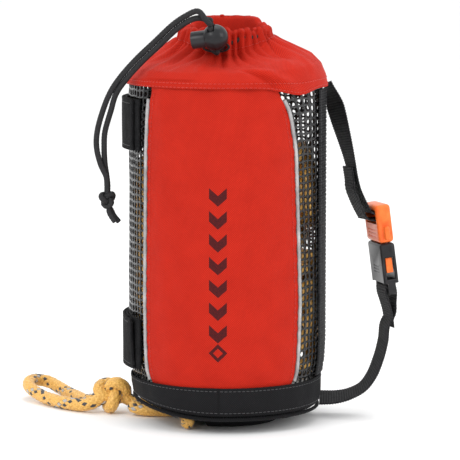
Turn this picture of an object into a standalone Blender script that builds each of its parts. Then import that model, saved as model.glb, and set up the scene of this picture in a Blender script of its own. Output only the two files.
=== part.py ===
# Throw rope bag: a drawstring water-rescue bag of cloth and netting on a rounded base,
# stuffed with floating rope, with a carry strap and side-release buckle down its right side.
# Metres, +Z up. The bag's axis is Z, its front panel faces -Y, and z = 0 is the ground.

import math

import bmesh
import bpy
from mathutils import Matrix, Vector

MM = 0.001

# ---- driving dimensions (millimetres) -------------------------------------------------
BODY_R = 70.0            # outside of the cloth and netting wall
PANEL_T = 1.2            # coated pack cloth, two plies
NET_T = 1.5              # vinyl-coated netting, over the knots
WALL_BOTTOM = 26.0       # lower edge of the wall, tucked inside the base band
WALL_TOP = 246.0         # upper edge of the wall, tucked inside the collar
BAND_TOP = 33.5          # upper edge of the black base band
BAND_T = 1.2
SEAM_Z = 11.2            # height of the base seam at the front
SEAM_TUCK = 7.8          # how much higher that seam sits on the left, over the rope
PATCH_R = 35.0           # flat of the base that stands on the ground
PIPING_R = 1.5           # reflective piping bead
WEBBING_W = 25.0         # carry strap and side webbing
WEBBING_T = 1.5
ROPE_R = 4.75            # 9.5 mm floating rope
CORD_R = 2.0             # 4 mm drawcord
BELT_W = 36.0            # hook-and-loop attachment straps
GAP = 0.4                # clearance between neighbours

SIDE_ANGLE = 82.0        # centre of the side webbing, degrees round from the front
TURN = 36                # facets round the bag

# edges of the front panel: height, angle
LEFT_EDGE = [(26, -49.0), (42, -50.6), (92, -51.3), (199, -49.7), (225, -48.2), (249, -45.0)]
RIGHT_EDGE = [(26, 49.0), (43, 50.2), (93, 51.8), (199, 48.0), (225, 43.5), (235, 39.0), (246, 35.0)]

# ---- scene ----------------------------------------------------------------------------
for old in list(bpy.data.objects):
    bpy.data.objects.remove(old)

PARTS = bpy.data.collections.new("throw_rope_bag")
CUTTERS = bpy.data.collections.new("cutters")
bpy.context.scene.collection.children.link(PARTS)
bpy.context.scene.collection.children.link(CUTTERS)
MATERIALS = {}


def material(name, colour, rough, metal=0.0):
    """One Principled material per sub-part."""
    mat = bpy.data.materials.new(name)
    mat.use_nodes = True
    shader = mat.node_tree.nodes["Principled BSDF"]
    shader.inputs["Base Color"].default_value = (*colour, 1.0)
    shader.inputs["Roughness"].default_value = rough
    shader.inputs["Metallic"].default_value = metal
    MATERIALS[name] = mat
    return mat


def place(name, data, colour, rough=0.7, metal=0.0, collection=PARTS):
    """Link an object made from mesh or curve data and give it its own material."""
    obj = bpy.data.objects.new(name, data)
    collection.objects.link(obj)
    if collection is PARTS:
        data.materials.append(material("mat_" + name, colour, rough, metal))
    return obj


RED = (0.69, 0.045, 0.03)
BLACK = (0.028, 0.028, 0.03)
ORANGE = (0.80, 0.16, 0.035)
GOLD = (0.72, 0.38, 0.06)
PLASTIC = (0.02, 0.02, 0.022)


# ---- geometry helpers -----------------------------------------------------------------
def vec(x, y, z):
    return Vector((x, y, z)) * MM


def ramp(x, low, high):
    """Smooth 0 to 1 between low and high."""
    t = min(1.0, max(0.0, (x - low) / (high - low)))
    return t * t * (3 - 2 * t)


def between(table, x):
    """Linear interpolation in a short table of (x, value)."""
    if x <= table[0][0]:
        return table[0][1]
    for (x0, v0), (x1, v1) in zip(table, table[1:]):
        if x <= x1:
            return v0 + (v1 - v0) * (x - x0) / (x1 - x0)
    return table[-1][1]


def around(radius, angle, z):
    """Point on the bag: the angle is in degrees from the front towards the right."""
    a = math.radians(angle)
    return vec(radius * math.sin(a), -radius * math.cos(a), z)


def smooth_path(route, count):
    """Evenly spaced points on a Catmull-Rom curve through route points (mm)."""
    pts = [Vector(p) for p in route]
    pts = [pts[0] * 2 - pts[1]] + pts + [pts[-1] * 2 - pts[-2]]
    fine = []
    for p0, p1, p2, p3 in zip(pts, pts[1:], pts[2:], pts[3:]):
        for k in range(24):
            t = k / 24
            fine.append(0.5 * ((2 * p1) + (p2 - p0) * t + (2 * p0 - 5 * p1 + 4 * p2 - p3) * t * t
                               + (3 * p1 - p0 - 3 * p2 + p3) * t ** 3))
    fine.append(pts[-2])
    run = [0.0]
    for a, b in zip(fine, fine[1:]):
        run.append(run[-1] + (b - a).length)
    out, j = [], 0
    for i in range(count):
        s = run[-1] * i / (count - 1)
        while j < len(run) - 2 and run[j + 1] < s:
            j += 1
        t = (s - run[j]) / max(run[j + 1] - run[j], 1e-9)
        out.append(fine[j].lerp(fine[j + 1], min(t, 1.0)))
    return out


def solid_sheet(name, rows, thickness, colour, rough=0.75, closed=False):
    """Open surface through rows of outer-face points (metres), thickened by Solidify.

    The argument closed joins each row end to end, as round the bag.
    """
    mesh = bpy.data.meshes.new(name)
    verts = [p for row in rows for p in row]
    n = len(rows[0])
    faces = []
    for r in range(len(rows) - 1):
        for c in range(n if closed else n - 1):
            d = (c + 1) % n
            faces.append((r * n + c, r * n + d, (r + 1) * n + d, (r + 1) * n + c))
    mesh.from_pydata([tuple(v) for v in verts], [], faces)
    obj = place(name, mesh, colour, rough)
    mod = obj.modifiers.new("thickness", "SOLIDIFY")
    mod.thickness = thickness * MM
    mod.offset = -1.0
    mod.use_even_offset = True
    return obj


def tube(name, points, radius, colour, rough=0.7, cyclic=False, resolution=2):
    """Round tube along points in millimetres."""
    data = bpy.data.curves.new(name, "CURVE")
    data.dimensions = "3D"
    data.bevel_depth = radius * MM
    data.bevel_resolution = resolution
    data.use_fill_caps = not cyclic
    spline = data.splines.new("POLY")
    spline.points.add(len(points) - 1)
    spline.use_cyclic_u = cyclic
    for point, p in zip(spline.points, points):
        point.co = (p[0] * MM, p[1] * MM, p[2] * MM, 1.0)
    return place(name, data, colour, rough)


def ribbon(name, points, sides, width, thickness, colour, rough=0.8):
    """Flat webbing: a strip along points, whose width lies along the side directions."""
    rows = []
    for p, s in zip(points, sides):
        s = Vector(s).normalized() * width / 2
        rows.append([vec(*(Vector(p) - s)), vec(*(Vector(p) + s))])
    obj = solid_sheet(name, rows, thickness, colour, rough)
    obj.modifiers["thickness"].offset = 0.0
    return obj


def side_blend(first, last, count):
    return [Vector(first).lerp(Vector(last), i / (count - 1)) for i in range(count)]


def turned(name, profile, colour, rough=0.6, metal=0.0, steps=24, collection=PARTS):
    """Turned solid: profile (radius, height) in millimetres at +X, top to bottom."""
    mesh = bpy.data.meshes.new(name)
    mesh.from_pydata([(r * MM, 0, z * MM) for r, z in profile], [(i, i + 1) for i in range(len(profile) - 1)], [])
    obj = place(name, mesh, colour, rough, metal, collection)
    mod = obj.modifiers.new("turn", "SCREW")
    mod.steps = mod.render_steps = steps
    mod.use_merge_vertices = True
    mod.merge_threshold = 0.00005
    return obj


def primitive(name, kind, colour, rough=0.5, collection=PARTS, **options):
    """A primitive solid moved into the wanted collection."""
    getattr(bpy.ops.mesh, f"primitive_{kind}_add")(**options)
    obj = bpy.context.active_object
    obj.name = obj.data.name = name
    for col in list(obj.users_collection):
        col.objects.unlink(obj)
    collection.objects.link(obj)
    if collection is PARTS:
        obj.data.materials.append(material("mat_" + name, colour, rough))
    return obj


def frame_matrix(origin, x_axis, z_axis):
    """World matrix with local X near x_axis and local Z along z_axis; origin in mm."""
    z = Vector(z_axis).normalized()
    y = z.cross(Vector(x_axis)).normalized()
    x = y.cross(z)
    rot = Matrix((x, y, z)).transposed().to_4x4()
    return Matrix.Translation(vec(*origin)) @ rot


def block(name, size, centre, frame, colour, rough=0.5, bevel=0.0, collection=PARTS):
    """Box of size (mm) centred at centre (mm) in a local frame, with softened edges."""
    obj = primitive(name, "cube", colour, rough, collection, size=1.0)
    obj.data.transform(Matrix.Translation(vec(*centre)) @ Matrix.Diagonal((*(vec(*size)), 1.0)))
    obj.matrix_world = frame
    if bevel:
        mod = obj.modifiers.new("edges", "BEVEL")
        mod.width = bevel * MM
        mod.segments = 1
    return obj


def rod(name, radius, length, frame, colour=BLACK, rough=0.5, vertices=16, collection=PARTS, at=(0, 0, 0)):
    """Cylinder along a local frame's Z, centred on at."""
    obj = primitive(name, "cylinder", colour, rough, collection,
                    radius=radius * MM, depth=length * MM, vertices=vertices)
    obj.data.transform(Matrix.Translation(vec(*at)))
    obj.matrix_world = frame
    return obj


def hide_cutter(obj):
    obj.hide_render = True
    obj.display_type = "WIRE"
    return obj


def boolean(target, cutter, operation="DIFFERENCE"):
    mod = target.modifiers.new(operation.lower(), "BOOLEAN")
    mod.operation = operation
    mod.solver = "EXACT"
    mod.object = cutter
    hide_cutter(cutter)


# ---- shape of the bag -----------------------------------------------------------------
def wall_radius(z):
    """The wall draws in where it tucks into the base band."""
    return between([(WALL_BOTTOM, 66.0), (34, 66.8), (44, 69.2), (60, BODY_R), (235, BODY_R), (249, 69.4)], z)


def seam_height(angle):
    """The base seam rides up over the rope on the left."""
    left = max(0.0, -math.sin(math.radians(angle)))
    return SEAM_Z + SEAM_TUCK * left * left


TAIL_ROUTE = [(-70, 2.6, 8.0), (-63.5, 0.0, 5.6), (-56, -1.7, 5.1), (-48, -2.2, 5.1), (-38, -4.5, 5.1),
              (-29.5, -12, 5.1), (-25.6, -23, 5.1), (-24.8, -36, 5.1), (-24.5, -50, 5.1)]
LEAD_ROUTE = [(-31.4, 11, 33.0), (-36.4, 11, 25.5), (-40.7, 11, 18.8), (-44.7, 10.9, 13.0), (-49.2, 10.8, 8.7),
              (-55, 10.9, 6.1), (-61.5, 11.4, 5.7), (-68.3, 13.4, 8.0)]
HOLE_AT = (-44.7, 10.9, 12.8)       # where the rope's grommet sits, on the rising left of the base
HOLE_SLOPE = 0.577
TAIL_PATH = smooth_path(TAIL_ROUTE, 26)
LEAD_PATH = smooth_path(LEAD_ROUTE, 18)


def dish_height(radius, angle):
    """Underside of the base: flat in the middle, rounded up to the seam, and lifted where
    the tail and the lead of the rope run under it."""
    z = seam_height(angle) * (0.9 * ramp(radius, PATCH_R, 52.0) + 0.1 * ramp(radius, 48.0, 63.8))
    here = around(radius, angle, 0) / MM
    near = min((Vector((p[0], p[1], 0)) - here).length for p in TAIL_PATH)
    z = max(z, 10.9 * (1.0 - ramp(near, 8.5, 14.0)))
    hole = Vector((HOLE_AT[0], HOLE_AT[1], 0))
    roof = HOLE_AT[2] + HOLE_SLOPE * (radius - hole.length)
    return z + (roof - z) * (1.0 - ramp((hole - here).length, 12.0, 18.0))


def angles(start, end, step=360.0 / TURN):
    count = max(2, int(round(abs(end - start) / step)) + 1)
    return [start + (end - start) * i / (count - 1) for i in range(count)]


def wall_rows(left, right, levels, offset=0.0):
    """Rows of wall points between two edges, each a function of height."""
    columns = max(2, int(round((right(100) - left(100)) / (360.0 / TURN))) + 1)
    rows = []
    for z in levels:
        lo, hi = left(z), right(z)
        step = (hi - lo) / (columns - 1)
        rows.append([around(wall_radius(z) + offset, lo + step * i, z) for i in range(columns)])
    return rows


def degrees_of(width, radius=BODY_R):
    return math.degrees(width / radius)


# ---- base -----------------------------------------------------------------------------
ROUND = [i * 360.0 / TURN for i in range(TURN)]
DISH_RINGS = [8, 16, 23, 29, 35, 41, 46, 51, 57, 63.8]

base_bottom = solid_sheet("base_bottom",
                          [[around(r, -a, dish_height(r, -a)) for a in ROUND] for r in reversed(DISH_RINGS)],
                          1.6, BLACK, 0.75, closed=True)
centre_mesh = base_bottom.data
bm = bmesh.new()
bm.from_mesh(centre_mesh)
bm.verts.ensure_lookup_table()
inner_ring = bm.verts[(len(DISH_RINGS) - 1) * TURN:]
bm.faces.new(inner_ring)
bmesh.ops.recalc_face_normals(bm, faces=bm.faces)
if sum(f.normal.z * f.calc_area() for f in bm.faces) > 0:
    bmesh.ops.reverse_faces(bm, faces=bm.faces)
bm.to_mesh(centre_mesh)
bm.free()

outward = Vector((HOLE_AT[0], HOLE_AT[1], 0)).normalized()
GROMMET_FRAME = frame_matrix(HOLE_AT, (0, 1, 0), Vector((0, 0, 1)) - outward * HOLE_SLOPE)
boolean(base_bottom, rod("cut_base_hole", 7.6, 12, GROMMET_FRAME, collection=CUTTERS, vertices=20))
grommet = turned("bottom_grommet", [(6.2, 3.9), (7.1, 3.9), (7.1, -1.0), (9.6, -1.0), (9.6, -2.2), (6.2, -2.2),
                                    (6.2, 3.9)], (0.30, 0.30, 0.31), 0.35, 0.9)
washer = turned("grommet_washer", [(7.5, 3.8), (9.6, 3.8), (9.6, 2.9), (7.5, 2.9), (7.5, 3.8)],
                (0.30, 0.30, 0.31), 0.35, 0.9)
grommet.matrix_world = washer.matrix_world = GROMMET_FRAME

band_profile = [(68.4, BAND_TOP), (68.3, 27.0), (67.6, 21.6), (66.2, None)]
band_rows = [[around(r, a, z if z is not None else seam_height(a) + 1.9) for a in ROUND] for r, z in band_profile]
base_band = solid_sheet("base_band", list(reversed(band_rows)), BAND_T, BLACK, 0.75, closed=True)

base_welt = tube("base_welt", [around(66.2, a, seam_height(a) - 0.4) / MM for a in ROUND], 1.3, BLACK, cyclic=True)

foam = primitive("float_foam", "cylinder", (0.62, 0.62, 0.60), 0.9, radius=63.0 * MM, depth=11 * MM, vertices=TURN,
                 location=vec(0, 0, 27.5))
boolean(foam, rod("cut_foam_hole", 7.0, 60, frame_matrix((-35.3, 11, 27.3), (0, 1, 0), (5, 0, 7.7)),
                  collection=CUTTERS, vertices=16))

# ---- wall -----------------------------------------------------------------------------
WALL_LEVELS = [WALL_BOTTOM, 35, 44, 60, 95, 130, 165, 200, 225, 235, WALL_TOP]
SEAM_GAP = degrees_of(PIPING_R + GAP)


def left_edge(z):
    return between(LEFT_EDGE, z)


def right_edge(z):
    return between(RIGHT_EDGE, z)


solid_sheet("front_panel", wall_rows(lambda z: left_edge(z) + SEAM_GAP, lambda z: right_edge(z) - SEAM_GAP,
                                     WALL_LEVELS), PANEL_T, RED)
solid_sheet("netting_right", wall_rows(lambda z: right_edge(z) + SEAM_GAP, lambda z: SIDE_ANGLE - 0.3, WALL_LEVELS),
            NET_T, BLACK, 0.4)
solid_sheet("netting_left", wall_rows(lambda z: SIDE_ANGLE + 0.3, lambda z: 360 + left_edge(z) - SEAM_GAP,
                                      WALL_LEVELS), NET_T, BLACK, 0.4)
for side, edge in (("left", left_edge), ("right", right_edge)):
    route = [around(wall_radius(z) - 0.2, edge(z), z) / MM for z in WALL_LEVELS[1:-1]]
    tube("piping_" + side, route, PIPING_R, (0.42, 0.41, 0.40), 0.35)

side_span = degrees_of(WEBBING_W / 2)
solid_sheet("side_webbing", [[around(wall_radius(z) + GAP + WEBBING_T + (0.6 if z < 40 else 0), a, z)
                              for a in angles(SIDE_ANGLE - side_span, SIDE_ANGLE + side_span, 7)]
                             for z in (35.0, 44, 60, 95, 130, 165, 200, 225, 240.5)], WEBBING_T, BLACK)

# ---- attachment straps on the left -----------------------------------------------------
STRAP_OUT = BODY_R + GAP + 1.8
FLAP_OUT = STRAP_OUT + GAP + 1.9
FLAP_HINGE_ANGLE = -126.0


def belt_rows(radius, first, last, low, high, curl=None):
    rows = []
    for i in range(4):
        z = low + (high - low) * i / 3
        rows.append([around(radius + (curl(a, i) if curl else 0.0), a, z) for a in angles(first, last, 8)])
    return rows


for level, low in (("upper", 197.7), ("lower", 41.8)):
    solid_sheet("belt_strap_" + level, belt_rows(STRAP_OUT, -152, -54.5, low, low + BELT_W), 1.8, BLACK, 0.85)
    tip = 88.5 if level == "lower" else low + BELT_W
    curl = (lambda a, i: 2.2 * ramp(a, -78, -60) * i / 3) if level == "lower" else None
    rows = belt_rows(FLAP_OUT, FLAP_HINGE_ANGLE, -59, low, low + BELT_W, curl)
    flap = solid_sheet("belt_flap_" + level, rows, 1.9, BLACK, 0.85)
    hinge = around(STRAP_OUT + GAP + 0.95, FLAP_HINGE_ANGLE, 0)
    flap.data.transform(Matrix.Translation(-hinge))
    flap.location = hinge

# ---- rope -----------------------------------------------------------------------------
turned("rope_bundle", [(0, 204), (22, 202), (44, 194), (57, 182), (63, 166), (64.5, 140), (63.5, 100), (64.5, 66),
                       (62.5, 46), (56, 36.4), (0, 36.0)], GOLD, 0.6, steps=20)
tube("rope_lead", LEAD_PATH, ROPE_R, GOLD, 0.6)
tube("rope_tail", TAIL_PATH, ROPE_R, GOLD, 0.6)
knot = primitive("rope_knot", "uv_sphere", GOLD, 0.6, segments=16, ring_count=10, radius=1.0)
knot.data.transform(Matrix.Translation(vec(-84.5, 13, 14.2)) @ Matrix.Diagonal((*vec(14.6, 13.5, 13.4), 1)))

LOOP_ROUTE = [(-98.6, 10, 7.5), (-106, 12.5, 5.3), (-116, 18.5, 5.1), (-127, 28, 5.1), (-139, 41, 6.0),
              (-150, 55, 9.5), (-152.5, 66, 12), (-148, 76, 12), (-139, 78, 10), (-130, 71, 7.0), (-121, 58, 5.2),
              (-113, 44, 5.1), (-106, 31, 5.2), (-98.6, 22, 8.0)]
tube("rope_loop", smooth_path(LOOP_ROUTE, 54), ROPE_R, GOLD, 0.6)

# ---- collar ---------------------------------------------------------------------------
# half profiles of the collar's outside, from its lower edge up to the throat: radius, height
SHOULDER_LEFT = [(71.9, 243.5), (71.6, 248.0), (66.0, 253.6), (57.5, 259.0), (48.0, 265.2), (38.0, 269.4),
                 (32.6, 271.6)]
SHOULDER_RIGHT = [(71.9, 243.5), (71.6, 249.5), (68.0, 257.6), (60.5, 264.2), (50.0, 268.6), (39.5, 271.4),
                  (32.6, 273.0)]
SHOULDER_FRONT = [(71.9, 243.5), (71.6, 248.5), (67.0, 254.0), (58.5, 257.8), (48.5, 260.4), (39.0, 262.6),
                  (32.9, 265.0)]
RIM_Z = 282.5
REAR_LIFT = 6.5          # the rear of the rim stands higher, as an ungathered flap


def collar_rows(step):
    rows = []
    for k in range(len(SHOULDER_LEFT)):
        row = []
        for a in step:
            w = 0.5 + 0.5 * math.sin(math.radians(a))
            front = max(0.0, math.cos(math.radians(a))) ** 2
            side = Vector(SHOULDER_LEFT[k]).lerp(Vector(SHOULDER_RIGHT[k]), w)
            r, z = side.lerp(Vector(SHOULDER_FRONT[k]), front)
            dip = 5.5 * math.exp(-((a - 50) / 16) ** 2) if k == 0 else 0.0
            row.append(around(r, a, z - dip))
        rows.append(row)
    for radius, z in ((32.2, RIM_Z - 1.5), (30.8, RIM_Z), (27.4, RIM_Z), (25.4, RIM_Z - 1.5), (25.0, 268.0)):
        lift = REAR_LIFT if z > 275 else 0.0
        rows.append([around(radius, a, z + lift * (1 - ramp(abs(180 - a % 360), 30, 80))) for a in step])
    return rows


collar = solid_sheet("collar", collar_rows(ROUND), 1.1, RED, 0.8, closed=True)
EXIT_FRAME = frame_matrix((-4.6, -32.3, 270.6), (1, 0, 0), (-0.14, -0.99, 0.0))
boolean(collar, block("cut_cord_exit", (19.4, 7.8, 8), (0, 0, 0), EXIT_FRAME, BLACK, collection=CUTTERS))
exit_plate = block("cord_exit_plate", (20.6, 8.6, 1.4), (0, 0, 1.9), EXIT_FRAME, PLASTIC, 0.4, bevel=0.45)
boolean(exit_plate, block("cut_plate_slot", (17.2, 5.8, 8), (0, 0, 1.9), EXIT_FRAME, BLACK, collection=CUTTERS))

# ---- cord lock --------------------------------------------------------------------------
LOCK_AT = Vector((-4.8, -44.9, 277.8))
LOCK_UP = Vector((-0.20, -0.44, 0.87)).normalized()          # the way the cords run through it
LOCK_AXIS = Vector((-0.93, -0.10, 0.35))                      # the way its button faces
LOCK_AXIS = (LOCK_AXIS - LOCK_UP * LOCK_AXIS.dot(LOCK_UP)).normalized()
LOCK_FRAME = frame_matrix(LOCK_AT, LOCK_UP, LOCK_AXIS)        # local Z is the button axis, X the cords

lock_body = primitive("cord_lock_body", "uv_sphere", PLASTIC, 0.35, segments=20, ring_count=12, radius=9.2 * MM)
lock_body.matrix_world = LOCK_FRAME
boolean(lock_body, rod("cut_lock_bore", 6.45, 15.6, LOCK_FRAME, collection=CUTTERS, vertices=20, at=(0, 0, 2.2)))
boolean(lock_body, block("cut_lock_cords", (24, 9.8, 4.9), (0, 0, 0.8), LOCK_FRAME, BLACK, collection=CUTTERS))
lock_button = rod("cord_lock_button", 6.05, 19.4, LOCK_FRAME, PLASTIC, 0.35, vertices=20, at=(0, 0, 6.7))
boolean(lock_button, block("cut_button_cords", (24, 9.6, 6.6), (0, 0, 1.7), LOCK_FRAME, BLACK, collection=CUTTERS))

cords = LOCK_UP.cross(LOCK_AXIS).normalized()


def lock_point(along, side):
    return LOCK_AT + LOCK_AXIS * 0.8 + LOCK_UP * along + cords * side


def ring_route(side):
    """One leg of the drawcord, from just above the lock down through it."""
    s = 2.35 * side
    return [lock_point(along, s) for along in (10.6, 5, 0, -5, -9.6, -11.2)]


def channel_points(start, end, count):
    return [around(28.5, start + (end - start) * i / (count - 1), 276.8) / MM for i in range(count)]


near_side = 1 if cords.x < 0 else -1
left_half = ring_route(near_side) + [Vector((-6.9, -37.4, 268.6)), Vector((-9.0, -33.2, 270.6)), Vector((-10.4, -28.1, 272)),
                                     Vector((-14.6, -24.3, 273.8))]
right_half = ring_route(-near_side) + [Vector((-1.4, -36.6, 270.2)), Vector((-0.6, -33.4, 270.6)),
                                       Vector((1.9, -29.6, 271.8)), Vector((5.8, -28.1, 273.2))]
channel = channel_points(-42, -334, 24)
drawcord_route = left_half + channel + list(reversed(right_half))
tube("drawcord_ring", smooth_path(drawcord_route, 76), CORD_R, BLACK)

TAIL_ROUTE_PAIR = [(-10.8, -50.6, 290.6), (-16.4, -51, 293.9), (-24, -50, 291.1), (-33.3, -47.5, 284.7),
                   (-45.5, -45, 273.3), (-58.4, -43.2, 261.2), (-69.3, -42.2, 249.1), (-76.5, -41.8, 238.6),
                   (-81.0, -41.6, 226.5), (-85.2, -41.4, 212), (-86.0, -41.2, 200.7), (-84.5, -41, 189),
                   (-81.9, -41, 180), (-81.2, -41, 173.4)]


def cord_strand(leg, sign):
    """One of the two free strands: side by side on the arch, apart where they hang."""
    route = [lock_point(12.8, 2.45 * leg)]
    for i, p in enumerate(TAIL_ROUTE_PAIR):
        here, ahead = Vector(p), Vector(TAIL_ROUTE_PAIR[min(i + 1, 13)])
        back = Vector(TAIL_ROUTE_PAIR[max(i - 1, 0)])
        normal = (ahead - back).cross(Vector((0, -1, 0))).normalized()
        depth = max(0.0, 1.0 - i / 1.5) + max(0.0, (i - 10.0) / 2.0)
        spread = normal.lerp(Vector((0, -1, 0)), min(1.0, depth)).normalized()
        route.append(here + spread * sign * (2.8 if i < 2 or 7 < i < 11 else 2.25))
    return [lock_point(11.2, 2.4 * leg)] + smooth_path(route, 38)


front_leg = 1 if cords.y < 0 else -1
tube("drawcord_tail_left", cord_strand(front_leg, 1), CORD_R, BLACK)
tube("drawcord_tail_right", cord_strand(-front_leg, -1), CORD_R, BLACK)
cord_knot = primitive("drawcord_knot", "uv_sphere", BLACK, 0.7, segments=12, ring_count=8, radius=1.0)
cord_knot.data.transform(Matrix.Translation(vec(-81.3, -41.0, 163.4)) @ Matrix.Diagonal((*vec(6.6, 6.4, 7.6), 1)))
END_A = [(-78.6, -38.8, 154.6), (-77.0, -38.5, 151.6), (-73.2, -38.3, 146.8)]
END_B = [(-79.6, -43.4, 154.2), (-78.0, -43.7, 151.2), (-75.4, -43.9, 147.4)]
tube("drawcord_end_left", smooth_path(END_A, 6), CORD_R, BLACK)
tube("drawcord_end_right", smooth_path(END_B, 6), CORD_R, BLACK)

# the lock's spring: a close coil behind the button, inside the bore
turns, per_turn = 1.8, 10
coil = []
for i in range(int(turns * per_turn) + 1):
    t = 2 * math.pi * i / per_turn
    coil.append(LOCK_FRAME @ vec(4.2 * math.cos(t), 4.2 * math.sin(t), -5.2 + 1.8 * i / (turns * per_turn)) / MM)

# ---- buckle -----------------------------------------------------------------------------
BUCKLE_AT = (111.2, 10.0, 128.5)
BUCKLE_Z = (-0.126, 0.0, 0.992)
BUCKLE_X = (0.292, -0.956, 0.0)
BUCKLE = frame_matrix(BUCKLE_AT, BUCKLE_X, BUCKLE_Z)          # local X is the width, Z up the strap

female = block("buckle_female", (34, 11, 37.5), (0, 0, -18.95), BUCKLE, PLASTIC, 0.4, bevel=1.6)
for name, size, at in (("cut_female_mouth", (28.6, 7.2, 26.4), (0, 0, -12.8)),
                       ("cut_female_windows", (50, 6.6, 16), (0, 0, -18.5)),
                       ("cut_female_slot", (27.0, 40, 4.2), (0, 0, -31.0)),
                       ("cut_female_bar_front", (50, 4, 10), (0, -4.6, -34.4)),
                       ("cut_female_bar_back", (50, 4, 10), (0, 4.6, -34.4))):
    boolean(female, block(name, size, at, BUCKLE, BLACK, collection=CUTTERS))

male = block("buckle_male", (34, 11, 27.5), (0, 0, 14.0), BUCKLE, ORANGE, 0.4, bevel=2.0)
boolean(male, block("cut_male_slot", (27.0, 40, 10), (0, 0, 19), BUCKLE, BLACK, collection=CUTTERS))
bar = rod("add_male_bar", 1.6, 31, BUCKLE @ Matrix.Rotation(math.pi / 2, 4, "Y"), ORANGE, vertices=12,
          collection=CUTTERS, at=(-19, 2, 0))
tongue = block("add_male_tongue", (7.0, 4.6, 20), (0, 0, -8.0), BUCKLE, ORANGE, collection=CUTTERS)
lug = block("add_male_lug", (5.2, 4.0, 9.5), (19.0, 0, 7.6), BUCKLE, ORANGE, collection=CUTTERS)
for addition in (bar, tongue, lug):
    boolean(male, addition, "UNION")
for side, sign in (("left", -1), ("right", 1)):
    prong = block("prong_" + side, (3.0, 4.8, 21.2), (0, 0, -10.9), BUCKLE, ORANGE, 0.4, bevel=0.6)
    head = block("add_prong_head_" + side, (5.2, 4.8, 10.6), (sign * 2.3, 0, -15.9), BUCKLE, ORANGE, collection=CUTTERS)
    boolean(prong, head, "UNION")
    shift = BUCKLE @ Matrix.Translation(vec(sign * 10.2, 0, -0.35))
    prong.matrix_world = shift
    head.matrix_world = shift

# ---- carry strap --------------------------------------------------------------------------
STRAP_TOP = [(73.6, 12.5, 242.5), (75.4, 12, 235.5), (78.2, 11.5, 225), (82.0, 11, 211.5), (85.8, 10.6, 198),
             (88.8, 10.3, 186), (91.4, 10.1, 174), (94.2, 10, 164.5)]
STRAP_BOTTOM = [(114.6, 10.6, 67), (113.4, 11, 56), (110.3, 11.5, 43.2), (105.4, 12, 30.5), (98.6, 12.3, 21.2),
                (89, 12.5, 15.8), (79, 12.5, 13.4), (69.8, 12.5, 12.8)]


def in_buckle(y, z):
    return BUCKLE @ vec(0, y, z) / MM


def turn_round(y, z, radius, start, end, count):
    """Webbing bent round a bar that runs across the buckle."""
    out = []
    for i in range(count):
        a = math.radians(start + (end - start) * i / (count - 1))
        out.append(in_buckle(y + radius * math.cos(a), z + radius * math.sin(a)))
    return out


BAR_TURN = 1.6 + GAP + WEBBING_T / 2
ACROSS = (BUCKLE.to_3x3() @ Vector((1, 0, 0))).normalized()
main_run = smooth_path(STRAP_TOP, 15)
returning = [Vector((89.6, 10, 163.6)), Vector((87.6, 10.1, 173)), Vector((85.4, 10.3, 182.4))]
upper_line = main_run + [in_buckle(-7.4, 23.6), in_buckle(-3.4, 22.0)] + turn_round(2, 19, BAR_TURN, 90, -90, 7)
upper_line += [in_buckle(-2.5, 16.25), in_buckle(-7.5, 17.4), in_buckle(-11.6, 20.4)] + returning
upper_sides = [Vector((0.30, -0.95, 0)), Vector((0.42, -0.90, 0)), Vector((0.52, -0.85, 0))]
upper_sides += side_blend((0.55, -0.83, 0), ACROSS, 12) + [ACROSS] * 15
ribbon("strap_upper", upper_line, upper_sides, WEBBING_W, WEBBING_T, BLACK)

lower_run = smooth_path(STRAP_BOTTOM, 20)
lower_line = [in_buckle(-1.2, -62), in_buckle(-1.3, -52), in_buckle(-2.6, -44), in_buckle(-3.75, -38)]
lower_line += turn_round(0, -33.8, 3.75, 180, 0, 7) + [in_buckle(3.75, -38), in_buckle(2.6, -44), in_buckle(1.2, -52)]
lower_line += lower_run
lower_sides = [ACROSS] * 14 + side_blend(ACROSS, (0.05, -0.97, -0.23), 20)
ribbon("strap_lower", lower_line, lower_sides, WEBBING_W, WEBBING_T, BLACK)
tube("cord_lock_spring", coil, 0.22, (0.55, 0.55, 0.56), 0.3, resolution=1)

for obj in CUTTERS.objects:
    hide_cutter(obj)
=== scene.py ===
# Throw rope bag: the finished model, put together in the order a maker sews and packs it.
# Metres, +Z up, on the same frame as the jointed model. The front panel faces -Y.

import math

import bmesh
import bpy
import numpy as np
from mathutils import Matrix, Vector


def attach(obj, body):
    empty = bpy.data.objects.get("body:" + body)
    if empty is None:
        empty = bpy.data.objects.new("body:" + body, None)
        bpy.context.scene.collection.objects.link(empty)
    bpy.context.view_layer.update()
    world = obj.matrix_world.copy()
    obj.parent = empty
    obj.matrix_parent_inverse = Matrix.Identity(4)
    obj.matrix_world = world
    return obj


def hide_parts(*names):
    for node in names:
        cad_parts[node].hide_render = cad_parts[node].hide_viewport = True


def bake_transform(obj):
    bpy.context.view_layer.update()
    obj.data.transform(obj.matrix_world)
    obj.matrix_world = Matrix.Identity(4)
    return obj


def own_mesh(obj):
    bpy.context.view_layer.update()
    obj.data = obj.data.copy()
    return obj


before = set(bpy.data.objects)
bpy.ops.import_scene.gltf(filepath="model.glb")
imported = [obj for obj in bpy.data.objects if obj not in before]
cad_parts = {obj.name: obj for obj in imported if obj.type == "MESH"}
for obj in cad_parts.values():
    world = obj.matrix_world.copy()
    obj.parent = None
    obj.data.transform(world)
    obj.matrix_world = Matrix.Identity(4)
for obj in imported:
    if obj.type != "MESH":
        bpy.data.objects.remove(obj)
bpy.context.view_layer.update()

# ---- ground, light and camera -----------------------------------------------------------
# A plain white ground in a soft white room, seen from a little above and slightly to the
# right of the front, through a long lens.
bpy.ops.object.select_all(action="DESELECT")
bpy.ops.mesh.primitive_plane_add(size=60.0, location=(0, 0, 0))
ground = bpy.context.active_object
ground.name = "ground"
ground_paint = bpy.data.materials.new("ground_white")
ground_paint.use_nodes = True
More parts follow.
